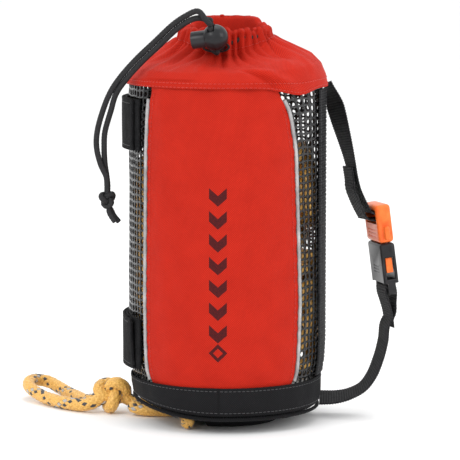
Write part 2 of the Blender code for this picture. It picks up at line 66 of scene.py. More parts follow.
ground_paint.node_tree.nodes["Principled BSDF"].inputs["Base Color"].default_value = (0.93, 0.93, 0.93, 1)
ground_paint.node_tree.nodes["Principled BSDF"].inputs["Roughness"].default_value = 0.85
ground.data.materials.append(ground_paint)

room = bpy.data.worlds.new("white_room")
room.use_nodes = True
room.node_tree.nodes["Background"].inputs["Color"].default_value = (1, 1, 1, 1)
room.node_tree.nodes["Background"].inputs["Strength"].default_value = 1.09
bpy.context.scene.world = room


def softbox(name, place, aim, size, power):
    """A square studio softbox turned to face a point."""
    lamp = bpy.data.lights.new(name, "AREA")
    lamp.size = size
    lamp.energy = power
    holder = bpy.data.objects.new(name, lamp)
    bpy.context.scene.collection.objects.link(holder)
    holder.location = place
    holder.rotation_euler = (Vector(aim) - Vector(place)).to_track_quat("-Z", "Y").to_euler()


softbox("softbox_left", (-1.1, -1.3, 1.3), (0, 0, 0.14), 0.7, 13)
softbox("softbox_right", (1.5, -0.7, 0.9), (0, 0, 0.14), 0.8, 9)
softbox("softbox_top", (0.1, 0.4, 1.9), (0, 0, 0.1), 1.2, 10)

lens = bpy.data.cameras.new("camera")
lens.sensor_width = 36.0
lens.lens = 212.0
lens.clip_end = 30.0
camera = bpy.data.objects.new("camera", lens)
bpy.context.scene.collection.objects.link(camera)
camera.location = (0.1210, -1.9308, 0.3813)
camera.rotation_euler = (Vector((0.0029, 0.0002, 0.1369))
                         - camera.location).to_track_quat("-Z", "Y").to_euler()
bpy.context.scene.camera = camera
bpy.context.scene.view_settings.view_transform = "Standard"

# ---- the rope's free end: hand loop, knot and tail --------------------------------------
# 9.5 mm floating rope, gold with black and silver tracer yarns, plaited from sixteen
# strands. Outside the grommet it is knotted, with a small hand loop and a cut tail.
ROPE_R = 0.00475


def smooth_path(route, spacing):
    """Evenly spaced points on a smooth curve through route points, in metres."""
    p = np.array(route, float)
    p = np.vstack([2 * p[0] - p[1], p, 2 * p[-1] - p[-2]])
    fine = []
    for a, b, c, d in zip(p, p[1:], p[2:], p[3:]):
        t = np.linspace(0, 1, 40, endpoint=False)[:, None]
        fine.append(0.5 * (2 * b + (c - a) * t + (2 * a - 5 * b + 4 * c - d) * t ** 2
                           + (3 * b - a - 3 * c + d) * t ** 3))
    fine = np.vstack(fine + [p[-2:-1]])
    run = np.concatenate([[0], np.cumsum(np.linalg.norm(np.diff(fine, axis=0), axis=1))])
    s = np.linspace(0, run[-1], max(3, int(round(run[-1] / spacing)) + 1))
    return np.stack([np.interp(s, run, fine[:, k]) for k in range(3)], 1)


def carried_frames(path):
    """Tangent and two cross directions at each point, turned as little as possible."""
    tangent = np.gradient(path, axis=0)
    tangent /= np.linalg.norm(tangent, axis=1)[:, None]
    first = np.cross(tangent[0], [0.3, 0.2, 1.0])
    first /= np.linalg.norm(first)
    normals = [first]
    for t in tangent[1:]:
        n = normals[-1] - t * np.dot(normals[-1], t)
        normals.append(n / np.linalg.norm(n))
    normals = np.array(normals)
    return tangent, normals, np.cross(tangent, normals)


def grid_object(name, points, uv=None, wrap=False, caps=False):
    """Mesh from a rows x columns grid of points; wrap closes the columns into a tube."""
    rows, cols = points.shape[:2]
    r, c = np.meshgrid(np.arange(rows - 1), np.arange(cols if wrap else cols - 1), indexing="ij")
    d = (c + 1) % cols
    faces = np.stack([r * cols + c, r * cols + d, (r + 1) * cols + d, (r + 1) * cols + c],
                     -1).reshape(-1, 4).tolist()
    verts = points.reshape(-1, 3).tolist()
    if caps:
        verts += [points[0].mean(0).tolist(), points[-1].mean(0).tolist()]
        n = rows * cols
        faces += [[n, (k + 1) % cols, k] for k in range(cols)]
        faces += [[n + 1, (rows - 1) * cols + k, (rows - 1) * cols + (k + 1) % cols] for k in range(cols)]
    mesh = bpy.data.meshes.new(name)
    mesh.from_pydata(verts, [], faces)
    if uv is not None:
        layer = mesh.uv_layers.new(name="cloth")
        u, v = uv[..., 0].reshape(-1), uv[..., 1].reshape(-1)
        corner = np.zeros(len(mesh.loops), np.int64)
        mesh.loops.foreach_get("vertex_index", corner)
        corner = np.minimum(corner, rows * cols - 1)
        layer.data.foreach_set("uv", np.stack([u[corner], v[corner]], 1).astype(np.float32).reshape(-1))
    mesh.update()
    obj = bpy.data.objects.new(name, mesh)
    bpy.context.scene.collection.objects.link(obj)
    mesh.polygons.foreach_set("use_smooth", np.ones(len(mesh.polygons), bool))
    return obj


def face_outwards(obj):
    """Merge doubles and turn every face of a closed shape outwards."""
    bm = bmesh.new()
    bm.from_mesh(obj.data)
    bmesh.ops.remove_doubles(bm, verts=bm.verts, dist=1e-7)
    bmesh.ops.recalc_face_normals(bm, faces=bm.faces)
    bm.to_mesh(obj.data)
    bm.free()
    return obj


def rings_round(path, nx, ny, angle, r):
    """A ring of points round each point of a path, at the given angles and distances."""
    first = (np.cos(angle) * r)[..., None] * nx[:, None]
    second = (np.sin(angle) * r)[..., None] * ny[:, None]
    return path[:, None] + first + second


def plaited_line(name, path, radius, strands, lay, depth, around, tracer=None):
    """Round plaited rope or cord along a path, with its strands raised in the surface.

    strands is the number each way, lay the length of one turn, depth how far they stand
    up. tracer marks the coloured yarns: an attribute of 1 for black and 2 for silver."""
    path = np.asarray(path, float)
    tangent, nx, ny = carried_frames(path)
    run = np.concatenate([[0], np.cumsum(np.linalg.norm(np.diff(path, axis=0), axis=1))])
    turn = np.arange(around) / around
    u, v = np.meshgrid(turn, run / lay)
    a, b = strands * (u + v), strands * (u - v)
    fa, fb = a % 1.0, b % 1.0
    over = (np.floor(a) + np.floor(b)) % 2 == 0
    across, along = np.where(over, fa, fb), np.where(over, fb, fa)
    height = np.sin(np.pi * across) ** 0.7 * (0.55 + 0.45 * np.sin(np.pi * along) ** 0.5)
    r = radius - depth + depth * height
    ends = np.minimum(run, run[-1] - run)
    r = r * np.clip(0.80 + 0.20 * ends / (radius * 0.5), 0, 1)[:, None]
    angle = 2 * np.pi * u
    pts = rings_round(path, nx, ny, angle, r)
    obj = grid_object(name, pts, wrap=True, caps=True)
    if tracer:
        mark = np.zeros(u.shape)
        ia, ib = np.floor(a) % strands, np.floor(b) % strands
        mark[(ia == 0) & over] = 1.0
        mark[(ib == 2) & ~over] = 1.0
        mark[(ia == 1) & over] = 2.0
        values = np.concatenate([mark.reshape(-1), [0.0, 0.0]])
        yarn = obj.data.attributes.new("yarn", "FLOAT", "POINT")
        yarn.data.foreach_set("value", values.astype(np.float32))
    return face_outwards(obj)


def new_finish(name, roughness, specular=0.5):
    """A material to build on, as the material itself, its node tree and its shader."""
    mat = bpy.data.materials.new(name)
    mat.use_nodes = True
    shader = mat.node_tree.nodes["Principled BSDF"]
    shader.inputs["Roughness"].default_value = roughness
    shader.inputs["Specular IOR Level"].default_value = specular
    return mat, mat.node_tree, shader


def speckle(tree, scale, detail=2.0, distortion=0.0, kind="Noise"):
    """A fine natural pattern on the piece's own coordinates."""
    place = tree.nodes.new("ShaderNodeTexCoord")
    pattern = tree.nodes.new(f"ShaderNodeTex{kind}")
    pattern.inputs["Scale"].default_value = scale
    if kind == "Noise":
        pattern.inputs["Detail"].default_value = detail
        pattern.inputs["Distortion"].default_value = distortion
    tree.links.new(place.outputs["Object"], pattern.inputs["Vector"])
    return pattern.outputs["Fac" if kind == "Noise" else "Distance"]


def worked_out(tree, operation, *values):
    """The result of one sum on plain numbers and other nodes' outputs."""
    node = tree.nodes.new("ShaderNodeMath")
    node.operation = operation
    for slot, value in enumerate(values):
        if isinstance(value, float):
            node.inputs[slot].default_value = value
        else:
            tree.links.new(value, node.inputs[slot])
    return node.outputs[0]


def toned(tree, source, dark, light, low=0.0, high=1.0):
    """A colour that goes from dark to light as the source goes from low to high."""
    tone = tree.nodes.new("ShaderNodeValToRGB")
    for stop, position, colour in zip(tone.color_ramp.elements, (low, high), (dark, light)):
        stop.position, stop.color = position, (*colour, 1)
    tree.links.new(source, tone.inputs["Fac"])
    return tone.outputs["Color"]


def laid_over(tree, under, colour, share):
    """A plain colour laid over another one, by a share from 0 to 1."""
    mix = tree.nodes.new("ShaderNodeMix")
    mix.data_type = "RGBA"
    mix.inputs["B"].default_value = (*colour, 1)
    tree.links.new(share, mix.inputs["Factor"])
    tree.links.new(under, mix.inputs["A"])
    return mix.outputs["Result"]


def raise_grain(tree, shader, height, distance, strength=1.0, over=None):
    """Stand a pattern up from the surface, in metres, on top of another grain if there is one."""
    bump = tree.nodes.new("ShaderNodeBump")
    bump.inputs["Strength"].default_value = strength
    bump.inputs["Distance"].default_value = distance
    tree.links.new(height, bump.inputs["Height"])
    if over:
        tree.links.new(over, bump.inputs["Normal"])
    tree.links.new(bump.outputs["Normal"], shader.inputs["Normal"])
    return bump.outputs["Normal"]


def surface_mark(tree, name):
    """A value that was marked on the mesh, such as which yarn or how high a rib."""
    mark = tree.nodes.new("ShaderNodeAttribute")
    mark.attribute_name = name
    return mark.outputs["Fac"]


def rope_material():
    """Gold polypropylene yarn with a soft shine, black and silver tracers."""
    mat, tree, shader = new_finish("gold_rope", 0.42)
    shader.inputs["Sheen Weight"].default_value = 0.25
    fibre = speckle(tree, 900.0, detail=3.0)
    colour = toned(tree, fibre, (0.52, 0.235, 0.028), (0.93, 0.56, 0.13), 0.25, 0.75)
    for value, tracer in ((1.0, (0.02, 0.022, 0.028)), (2.0, (0.40, 0.39, 0.38))):
        marked = worked_out(tree, "COMPARE", surface_mark(tree, "yarn"), value, 0.35)
        colour = laid_over(tree, colour, tracer, marked)
    tree.links.new(colour, shader.inputs["Base Color"])
    raise_grain(tree, shader, fibre, 0.0003, 0.35)
    return mat


GOLD_ROPE = rope_material()
LOOP_ROUTE = [(-98.6, 10, 7.5), (-106, 12.5, 5.3), (-116, 18.5, 5.1), (-127, 28, 5.1), (-139, 41, 6.0),
              (-150, 55, 9.5), (-152.5, 66, 12), (-148, 76, 12), (-139, 78, 10), (-130, 71, 7.0),
              (-121, 58, 5.2), (-113, 44, 5.1), (-106, 31, 5.2), (-98.6, 22, 8.0)]
TAIL_ROUTE = [(-70, 2.6, 8.0), (-63.5, 0.0, 5.6), (-56, -1.7, 5.1), (-48, -2.2, 5.1), (-38, -4.5, 5.1),
              (-29.5, -12, 5.1), (-25.6, -23, 5.1), (-24.8, -36, 5.1), (-24.5, -50, 5.1)]
LEAD_ROUTE = [(-31.4, 11, 33.0), (-36.4, 11, 25.5), (-40.7, 11, 18.8), (-44.7, 10.9, 13.0),
              (-49.2, 10.8, 8.7),
              (-55, 10.9, 6.1), (-61.5, 11.4, 5.7), (-68.3, 13.4, 8.0)]

def metres(route):
    """Millimetre points as tuples in metres."""
    return [tuple(c / 1000 for c in p) for p in route]


rope_lay = dict(radius=ROPE_R, strands=8, lay=0.040, depth=0.0007, around=64, tracer=True)
THROUGH_KNOT = [(-76.5, 13.4, 11.5), (-84.5, 12.4, 12.6), (-92, 10.6, 10.6)]
loop_path = smooth_path(metres(LEAD_ROUTE + THROUGH_KNOT + LOOP_ROUTE), 0.0006)
hand_loop = plaited_line("rope_lead_and_hand_loop", loop_path, **rope_lay)
tail_path = smooth_path(metres(TAIL_ROUTE), 0.0006)
rope_tail = plaited_line("rope_cut_tail", tail_path, **rope_lay)

# the knot: a closed piece of three close turns, with the rope running in and out of it
t = np.linspace(0, 2 * np.pi, 260, endpoint=True)
trefoil = np.stack([np.sin(t) + 2 * np.sin(2 * t), np.cos(t) - 2 * np.cos(2 * t), -1.15 * np.sin(3 * t)], 1)
turned = Matrix.Rotation(math.radians(-20), 3, "Z") @ Matrix.Rotation(math.radians(72), 3, "X")
knot_path = (trefoil * 0.00345) @ np.array(turned).T + np.array([-0.0845, 0.013, 0.0143])
knot_lay = dict(rope_lay, depth=0.0006)
rope_knot = plaited_line("rope_stopper_knot", knot_path, **knot_lay)
for piece in (hand_loop, rope_tail, rope_knot):
    piece.data.materials.append(GOLD_ROPE)
    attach(piece, "bag")
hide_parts("rope_lead", "rope_loop")
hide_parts("rope_tail")
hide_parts("rope_knot")


# ---- the drawcord's free strands and its knot ---------------------------------------------
# 4 mm black plaited cord. Both ends come up through the cord lock, arch over the left
# shoulder, hang down the side and are tied in one overhand knot with short cut ends.
CORD_R = 0.0020
LOCK_AT = Vector((-4.8, -44.9, 277.8))
LOCK_UP = Vector((-0.20, -0.44, 0.87)).normalized()
LOCK_AXIS = Vector((-0.93, -0.10, 0.35))
LOCK_AXIS = (LOCK_AXIS - LOCK_UP * LOCK_AXIS.dot(LOCK_UP)).normalized()
LOCK_SIDE = LOCK_UP.cross(LOCK_AXIS).normalized()
PAIR_ROUTE = [(-10.8, -50.6, 290.6), (-16.4, -51, 293.9), (-24, -50, 291.1), (-33.3, -47.5, 284.7),
              (-45.5, -45, 273.3), (-58.4, -43.2, 261.2), (-69.3, -42.2, 249.1), (-76.5, -41.8, 238.6),
              (-81.0, -41.6, 226.5), (-85.2, -41.4, 212), (-86.0, -41.2, 200.7), (-84.5, -41, 189),
              (-81.9, -41, 180), (-81.2, -41, 173.4)]


def through_lock(along, side):
    """A point of a cord inside the lock, from the ball's middle, in mm."""
    return LOCK_AT + LOCK_AXIS * 0.8 + LOCK_UP * along + LOCK_SIDE * side


def hanging_strand(leg, sign):
    """One strand's line: beside its twin on the arch, a little apart where it hangs."""
    route = [through_lock(11.2, 2.4 * leg), through_lock(12.8, 2.45 * leg)]
    for i, p in enumerate(PAIR_ROUTE):
        ahead = Vector(PAIR_ROUTE[min(i + 1, 13)]) - Vector(PAIR_ROUTE[max(i - 1, 0)])
        normal = ahead.cross(Vector((0, -1, 0))).normalized()
        depth = max(0.0, 1.0 - i / 1.5) + max(0.0, (i - 10.0) / 2.0)
        spread = normal.lerp(Vector((0, -1, 0)), min(1.0, depth)).normalized()
        route.append(Vector(p) + spread * sign * (2.7 if i < 2 or 7 < i < 11 else 2.04))
    route.append(Vector((-81.3, -41 - 1.6 * sign, 167.5)))
    return smooth_path(metres(route), 0.0005)


def black_cord_material():
    """Black nylon yarn: dull, with a paler fibre here and there."""
    mat, tree, shader = new_finish("black_cord", 0.55, 0.14)
    tone = toned(tree, speckle(tree, 1400.0), (0.002, 0.002, 0.0025), (0.040, 0.040, 0.042))
    tree.links.new(tone, shader.inputs["Base Color"])
    return mat


BLACK_CORD = black_cord_material()
cord_lay = dict(radius=CORD_R, strands=6, lay=0.013, depth=0.00042, around=36)
front_leg = 1 if LOCK_SIDE.y < 0 else -1
strand_paths = {"drawcord_strand_left": hanging_strand(front_leg, 1),
                "drawcord_strand_right": hanging_strand(-front_leg, -1)}
strands = [plaited_line(name, path, **dict(cord_lay, radius=0.00212)) for name, path in strand_paths.items()]

turned = Matrix.Rotation(math.radians(25), 3, "Z") @ Matrix.Rotation(math.radians(80), 3, "X")
doubled = []
for shift in (-0.0011, 0.0011):
    doubled.append((trefoil * 0.00162) @ np.array(turned).T + np.array([-0.0813, -0.041 + shift, 0.1634]))
cord_knot = plaited_line("drawcord_stopper_knot", doubled[0], **dict(cord_lay, radius=0.0021))
cord_knot_twin = plaited_line("drawcord_stopper_knot_twin", doubled[1], **dict(cord_lay, radius=0.0021))
END_A = [(-79.6, -39.4, 157.2), (-78.4, -38.8, 154.6), (-77.0, -38.5, 151.6), (-73.2, -38.3, 146.8)]
END_B = [(-80.2, -42.8, 157.0), (-79.6, -43.4, 154.2), (-78.0, -43.7, 151.2), (-75.4, -43.9, 147.4)]
ends = [plaited_line(name, smooth_path(metres(route), 0.0005), **cord_lay)
        for name, route in (("drawcord_cut_end_left", END_A), ("drawcord_cut_end_right", END_B))]
for piece in strands + [cord_knot, cord_knot_twin] + ends:
    piece.data.materials.append(BLACK_CORD)
    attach(piece, "bag")
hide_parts("drawcord_tail_left")
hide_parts("drawcord_tail_right")
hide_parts("drawcord_knot")
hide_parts("drawcord_end_left")
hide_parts("drawcord_end_right")

# ---- base: bucket, band, welt, grommet and foam ------------------------------------------
# The bottom is a shallow bucket of coated black pack cloth, dished up where the rope runs
# under it, joined to a plain band by a bound welt. A plated grommet lets the rope out, and
# a disc of closed-cell foam sits inside so that the bag floats.
def ramp(x, low, high):
    """0 below low, 1 above high, and a soft rise between."""
    t = min(1.0, max(0.0, (x - low) / (high - low)))
    return t * t * (3 - 2 * t)


def between(table, x):
    """Straight steps between the pairs of a short table."""
    return float(np.interp(x, [p[0] for p in table], [p[1] for p in table]))


def around(r, angle, z):
    """Point at an angle in degrees, measured from the front round to the right, in mm."""
    return Vector((r * math.sin(math.radians(angle)), -r * math.cos(math.radians(angle)), z))


def seam_height(angle):
    """Height of the welt: higher on the left, where the rope comes out underneath."""
    return 11.2 + 7.8 * max(0.0, -math.sin(math.radians(angle))) ** 2


GROMMET_AT = Vector((-44.7, 10.9, 12.8))
tail_plan = tail_path[::6, :2] * 1000


def rope_gap(x, y):
    """How far a point of the base is from the middle of the rope that runs under it."""
    return float(np.hypot(tail_plan[:, 0] - x, tail_plan[:, 1] - y).min())


def dish_height(x, y, angle):
    """Underside of the base: flat in the middle, up to the seam, hollow over the rope."""
    r = math.hypot(x, y)
    z = seam_height(angle) * (0.9 * ramp(r, 35, 52) + 0.1 * ramp(r, 48, 63.8))
    hollow = 1 - ramp(rope_gap(x, y), 8.5, 14)
    z = max(z, 10.9) * hollow + z * (1 - hollow)
    hole = math.hypot(x - GROMMET_AT.x, y - GROMMET_AT.y)
    roof = 12.8 + 0.577 * (r - math.hypot(GROMMET_AT.x, GROMMET_AT.y))
    return roof * (1 - ramp(hole, 12, 18)) + z * ramp(hole, 12, 18)


def cloth_lengths(tree):
    """Where a point is on its own cloth, in metres, from the piece's UV map."""
    cloth = tree.nodes.new("ShaderNodeUVMap")
    cloth.uv_map = "cloth"
    return cloth.outputs["UV"]


# a wave texture of scale 1 has its bands 2 pi / 20 apart
BAND_SCALE = 0.31416


def bands(tree, along, direction, pitch, distortion, detail_scale=1.0):
    """Yarns side by side, one pitch apart in metres."""
    wave = tree.nodes.new("ShaderNodeTexWave")
    wave.bands_direction = direction
    wave.inputs["Scale"].default_value = BAND_SCALE / pitch
    wave.inputs["Distortion"].default_value = distortion
    wave.inputs["Detail Scale"].default_value = detail_scale
    tree.links.new(along, wave.inputs["Vector"])
    return wave.outputs["Fac"]


def cloth_material(name, dark, light, pitch, bump, roughness, sheen):
    """Coated pack cloth: a plain weave on the cloth's own measure, with scuffs and creases."""
    mat, tree, shader = new_finish(name, roughness, 0.09)
    shader.inputs["Sheen Weight"].default_value = sheen
    shader.inputs["Sheen Roughness"].default_value = 0.45
    turned = tree.nodes.new("ShaderNodeMapping")
    turned.inputs["Rotation"].default_value = (0, 0, math.radians(38))
    tree.links.new(cloth_lengths(tree), turned.inputs["Vector"])
    warp, weft = (bands(tree, turned.outputs["Vector"], way, pitch, 0.6, 0.4) for way in ("X", "Y"))
    weave = worked_out(tree, "MULTIPLY", warp, weft)
    scuffed = worked_out(tree, "MULTIPLY_ADD", speckle(tree, 70.0, detail=6.0), 0.30, weave)
    tree.links.new(toned(tree, scuffed, dark, light, 0.05), shader.inputs["Base Color"])
    grain = raise_grain(tree, shader, weave, bump, 0.75)
    raise_grain(tree, shader, speckle(tree, 120.0), 0.002, 0.25, over=grain)
    return mat


BLACK_CLOTH = cloth_material("black_pack_cloth", (0.004, 0.004, 0.0045), (0.018, 0.018, 0.020), 0.0011,
                             0.00028, 0.65, 0.01)


def thick_sheet(obj, thickness):
    """Give an open sheet its thickness, the new face on its inner side, and smooth it."""
    bpy.ops.object.select_all(action="DESELECT")
    bpy.context.view_layer.objects.active = obj
    obj.select_set(True)
    ply = obj.modifiers.new("ply", "SOLIDIFY")
    ply.thickness = thickness
    ply.offset = -1.0
    bpy.ops.object.modifier_apply(modifier="ply")
    bm = bmesh.new()
    bm.from_mesh(obj.data)
    bmesh.ops.recalc_face_normals(bm, faces=bm.faces)
    bm.to_mesh(obj.data)
    bm.free()
    return obj


def sheet_from(name, point, across, up, thickness, wrap=False, scale=(1.0, 1.0)):
    """A sheet whose points come from point(a, b) in mm; UVs are real lengths in metres."""
    pts = np.array([[tuple(point(a, b)) for a in across] for b in up]) / 1000
    u = np.tile(np.array(across) * scale[0], (len(up), 1))
    v = np.tile((np.array(up) * scale[1])[:, None], (1, len(across)))
    obj = grid_object(name, pts, uv=np.stack([u, v], -1), wrap=wrap)
    return thick_sheet(obj, thickness)


def keep(obj, material, body, slot, *nodes):
    """Finish a sewn or moulded piece: its material, its body and the node it stands for."""
    obj.data.materials.clear()
    obj.data.materials.append(material)
    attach(obj, body)
    if nodes:
        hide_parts(*nodes)
    return obj


GROMMET_HOLE = 7.6
BUCKET_R = 63.8
BUCKET_PLY = 0.0016


def bucket_point(angle, r):
    """The base cloth, from its middle to the welt, drawn back from the hole for the grommet."""
    x, y = r * math.sin(math.radians(angle)), -r * math.cos(math.radians(angle))
    hole = GROMMET_AT.x - x, GROMMET_AT.y - y
    gap = math.hypot(*hole)
    if gap < GROMMET_HOLE:
        push = GROMMET_HOLE / max(gap, 0.5)
        x, y = GROMMET_AT.x - hole[0] * push, GROMMET_AT.y - hole[1] * push
    return Vector((x, y, dish_height(x, y, angle)))


rings = [0.6] + [3.0 * k for k in range(1, 11)] + list(np.arange(32, 63.9, 1.45)) + [BUCKET_R]
bucket = sheet_from("base_bucket", bucket_point, list(np.arange(0, 360, 2.5)), rings, BUCKET_PLY,
                    wrap=True, scale=(0.0008, 0.001))
keep(bucket, BLACK_CLOTH, "bag", "black_cloth", "base_bottom")


BAND_TOP = 33.5
CLOTH_PLY = 0.0012


def band_point(angle, t):
    """The band from the welt (t=0) to its top edge (t=1), eased outwards over the seam."""
    low = seam_height(angle) + 1.9
    z = low + (BAND_TOP - low) * t
    r = between([(low, 66.6), (low + 2.5, 67.7), (low + 7, 68.5), (28, 68.7), (BAND_TOP, 68.8)], z)
    soft = 0.22 * math.sin(math.radians(angle * 9)) * math.sin(math.pi * t)
    soft += 0.14 * math.sin(math.radians(angle * 23))
    return around(r + soft, angle, z)


band = sheet_from("base_band", band_point, list(np.arange(0, 360, 1.5)), list(np.linspace(0, 1, 22)),
                  CLOTH_PLY, wrap=True, scale=(0.0012, 0.02))
keep(band, BLACK_CLOTH, "bag", "black_cloth", "base_band")


def bead(name, path, radius, sides, closed=False, ripple=0.0):
    """Round piping or binding along a path, in metres, a little uneven along its length."""
    path = np.asarray(path, float)
    if closed:
        tangent = np.roll(path, -1, 0) - np.roll(path, 1, 0)
        tangent /= np.linalg.norm(tangent, axis=1)[:, None]
        nx = np.cross(tangent, [0, 0, 1.0])
        nx /= np.linalg.norm(nx, axis=1)[:, None]
        ny = np.cross(tangent, nx)
        path, nx, ny = (np.vstack([m, m[:1]]) for m in (path, nx, ny))
    else:
        tangent, nx, ny = carried_frames(path)
    angle = 2 * np.pi * np.arange(sides) / sides
    run = np.concatenate([[0], np.cumsum(np.linalg.norm(np.diff(path, axis=0), axis=1))])
    r = radius * (1 + ripple * np.sin(run * 2 * np.pi / 0.0031))[:, None]
    pts = rings_round(path, nx, ny, angle, r)
    u, v = np.meshgrid(angle * radius, run)
    obj = grid_object(name, pts, uv=np.stack([u, v], -1), wrap=True, caps=not closed)
    return face_outwards(obj)


welt_path = [tuple(around(66.2, a, seam_height(a) - 0.4) / 1000) for a in np.arange(0, 360, 1.2)]
welt = bead("base_welt", welt_path, 0.00128, 10, closed=True, ripple=0.06)
keep(welt, BLACK_CLOTH, "bag", "black_cloth", "base_welt")


def stitch_row(name, route, thread, length, gap, lift=0.0):
    """A row of machine stitches: short rounded threads laid end to end along a line in mm."""
    line = np.array([tuple(p) for p in route], float)
    run = np.concatenate([[0], np.cumsum(np.linalg.norm(np.diff(line, axis=0), axis=1))])
    verts, faces = [], []
    count = int(run[-1] / (length + gap))
    for k in range(count):
        start = k * (length + gap)
        stops = [start, start + length * 0.12, start + length * 0.5, start + length * 0.88, start + length]
        girth = [0.35, 0.85, 1.0, 0.85, 0.35]
        mid = np.stack([np.interp(stops, run, line[:, c]) for c in range(3)], 1)
        along = mid[-1] - mid[0]
        along /= max(np.linalg.norm(along), 1e-9)
        side = np.cross(along, [mid[2][0], mid[2][1], 0.001])
        side /= max(np.linalg.norm(side), 1e-9)
        up = np.cross(side, along)
        base = len(verts)
        for p, g in zip(mid, girth):
            for c in range(6):
                w = 2 * math.pi * c / 6
                spoke = (side * math.cos(w) + up * math.sin(w)) * thread * g
                verts.append(tuple((p + up * lift + spoke) / 1000))
        for i in range(4):
            for c in range(6):
                d = (c + 1) % 6
                faces.append((base + i * 6 + c, base + i * 6 + d, base + i * 6 + 6 + d, base + i * 6 + 6 + c))
        faces.append(tuple(base + c for c in reversed(range(6))))
        faces.append(tuple(base + 24 + c for c in range(6)))
    mesh = bpy.data.meshes.new(name)
    mesh.from_pydata(verts, [], faces)
    mesh.update()
    obj = bpy.data.objects.new(name, mesh)
    bpy.context.scene.collection.objects.link(obj)
    mesh.polygons.foreach_set("use_smooth", np.ones(len(mesh.polygons), bool))
    return face_outwards(obj)


def thread_material(name, dark, light):
    """Twisted sewing thread."""
    mat, tree, shader = new_finish(name, 0.45)
    tree.links.new(toned(tree, speckle(tree, 1800.0), dark, light), shader.inputs["Base Color"])
    return mat


BLACK_THREAD = thread_material("black_thread", (0.015, 0.015, 0.017), (0.08, 0.08, 0.085))
for name, t in (("base_band_top_stitches", 0.90), ("base_band_seam_stitches", 0.13)):
    row = stitch_row(name, [band_point(a, t) for a in np.arange(0, 361, 3)], 0.26, 2.3, 0.8, lift=0.12)
    keep(row, BLACK_THREAD, "bag", "black_cloth")


def metal_material():
    """Plated brass gone grey, with fine handling marks."""
    mat, tree, shader = new_finish("plated_metal", 0.5)
    shader.inputs["Metallic"].default_value = 1.0
    marks = speckle(tree, 400.0, detail=5.0)
    rough = tree.nodes.new("ShaderNodeMapRange")
    rough.inputs["To Min"].default_value, rough.inputs["To Max"].default_value = 0.22, 0.48
    tree.links.new(marks, rough.inputs["Value"])
    tree.links.new(rough.outputs["Result"], shader.inputs["Roughness"])
    tone = toned(tree, marks, (0.30, 0.29, 0.28), (0.52, 0.52, 0.52))
    tree.links.new(tone, shader.inputs["Base Color"])
    return mat


def foam_material():
    """Closed-cell foam: pale grey, with small cut cells."""
    mat, tree, shader = new_finish("closed_cell_foam", 0.85)
    cells = speckle(tree, 900.0, kind="Voronoi")
    tone = toned(tree, cells, (0.42, 0.42, 0.41), (0.62, 0.62, 0.60))
    tree.links.new(tone, shader.inputs["Base Color"])
    raise_grain(tree, shader, cells, 0.0004)
    return mat


PLATED_METAL = metal_material()
CELL_FOAM = foam_material()


def refinish(node, material):
    """A part kept from the jointed model takes the finished material in all of its slots."""
    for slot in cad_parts[node].material_slots:
        slot.material = material


for node in ("bottom_grommet", "grommet_washer", "cord_lock_spring"):
    refinish(node, PLATED_METAL)
refinish("float_foam", CELL_FOAM)

# ---- the stuffed rope ---------------------------------------------------------------------
# About 15 m of the same gold rope, fed in by hand so that it lies in loose random bights.
# It fills the bag from the foam up to just under the collar. 15 m is laid in, and 13.4 m of
# it is left once the bights have settled, because the smoothing takes up the rest.
ROPE_INSIDE = 15.0
PACKED_R, PACKED_SIDES = 0.00468, 10
PACKED_GAP = 0.0098


def stuffed_path(metres_of_rope, rounds):
    """A long smooth line settled in a round bag until its passes lie side by side.

    Each round pulls the line's steps back towards their length, smooths it, pushes apart any
    two passes that are closer than the rope is thick, and keeps it inside the wall."""
    random = np.random.default_rng(11)
    step = 0.012
    n = int(metres_of_rope / step)
    s = np.arange(n) * step
    turn = np.cumsum(step / 0.045 * (0.75 + 0.9 * np.sin(s * 3.1 + 1.0) + 0.6 * np.sin(s * 7.3)))
    reach = 0.040 + 0.016 * np.sin(s * 9.7 + 2.0) + 0.006 * np.sin(s * 23.0)
    rise = 0.043 + (0.193 - 0.043) * s / s[-1]
    p = np.stack([reach * np.sin(turn), -reach * np.cos(turn),
                  rise + 0.016 * np.sin(s * 11.0 + turn * 0.7)], 1)
    p += random.normal(0, 0.002, p.shape)
    for k in range(rounds):
        d = np.diff(p, axis=0)
        length = np.linalg.norm(d, axis=1, keepdims=True)
        pull = d * (length - step) / np.maximum(length, 1e-6) * 0.45
        p[:-1] += pull
        p[1:] -= pull
        p[1:-1] += 0.16 * (0.5 * (p[:-2] + p[2:]) - p[1:-1])
        order = np.argsort(p[:, 2])
        q = p[order]
        for shift in range(1, 90):
            diff = q[shift:] - q[:-shift]
            dist = np.sqrt((diff ** 2).sum(1))
            close = (dist < PACKED_GAP) & (np.abs(order[shift:] - order[:-shift]) > 1)
            if not close.any():
                continue
            share = (PACKED_GAP - dist[close]) / np.maximum(dist[close], 1e-5) * 0.4
            push = diff[close] * share[:, None]
            np.add.at(p, order[shift:][close], push)
            np.add.at(p, order[:-shift][close], -push)
        p[:, :2] *= 1.0035
        radial = np.hypot(p[:, 0], p[:, 1])
        limit = np.interp(p[:, 2], [0.040, 0.05, 0.18, 0.198], [0.0600, 0.0620, 0.0622, 0.054])
        over = radial > limit
        p[over, :2] *= (limit[over] / radial[over])[:, None]
        p[:, 2] = np.clip(p[:, 2], 0.0425, 0.197)
    return p


stuffed = stuffed_path(ROPE_INSIDE, 220)
line = smooth_path(stuffed, 0.003)
tangent, nx, ny = carried_frames(line)
angle = 2 * np.pi * np.arange(PACKED_SIDES) / PACKED_SIDES
spokes = np.cos(angle)[None, :, None] * nx[:, None] + np.sin(angle)[None, :, None] * ny[:, None]
pts = line[:, None] + PACKED_R * spokes
stuffed_rope = face_outwards(grid_object("stuffed_rope", pts, wrap=True, caps=True))
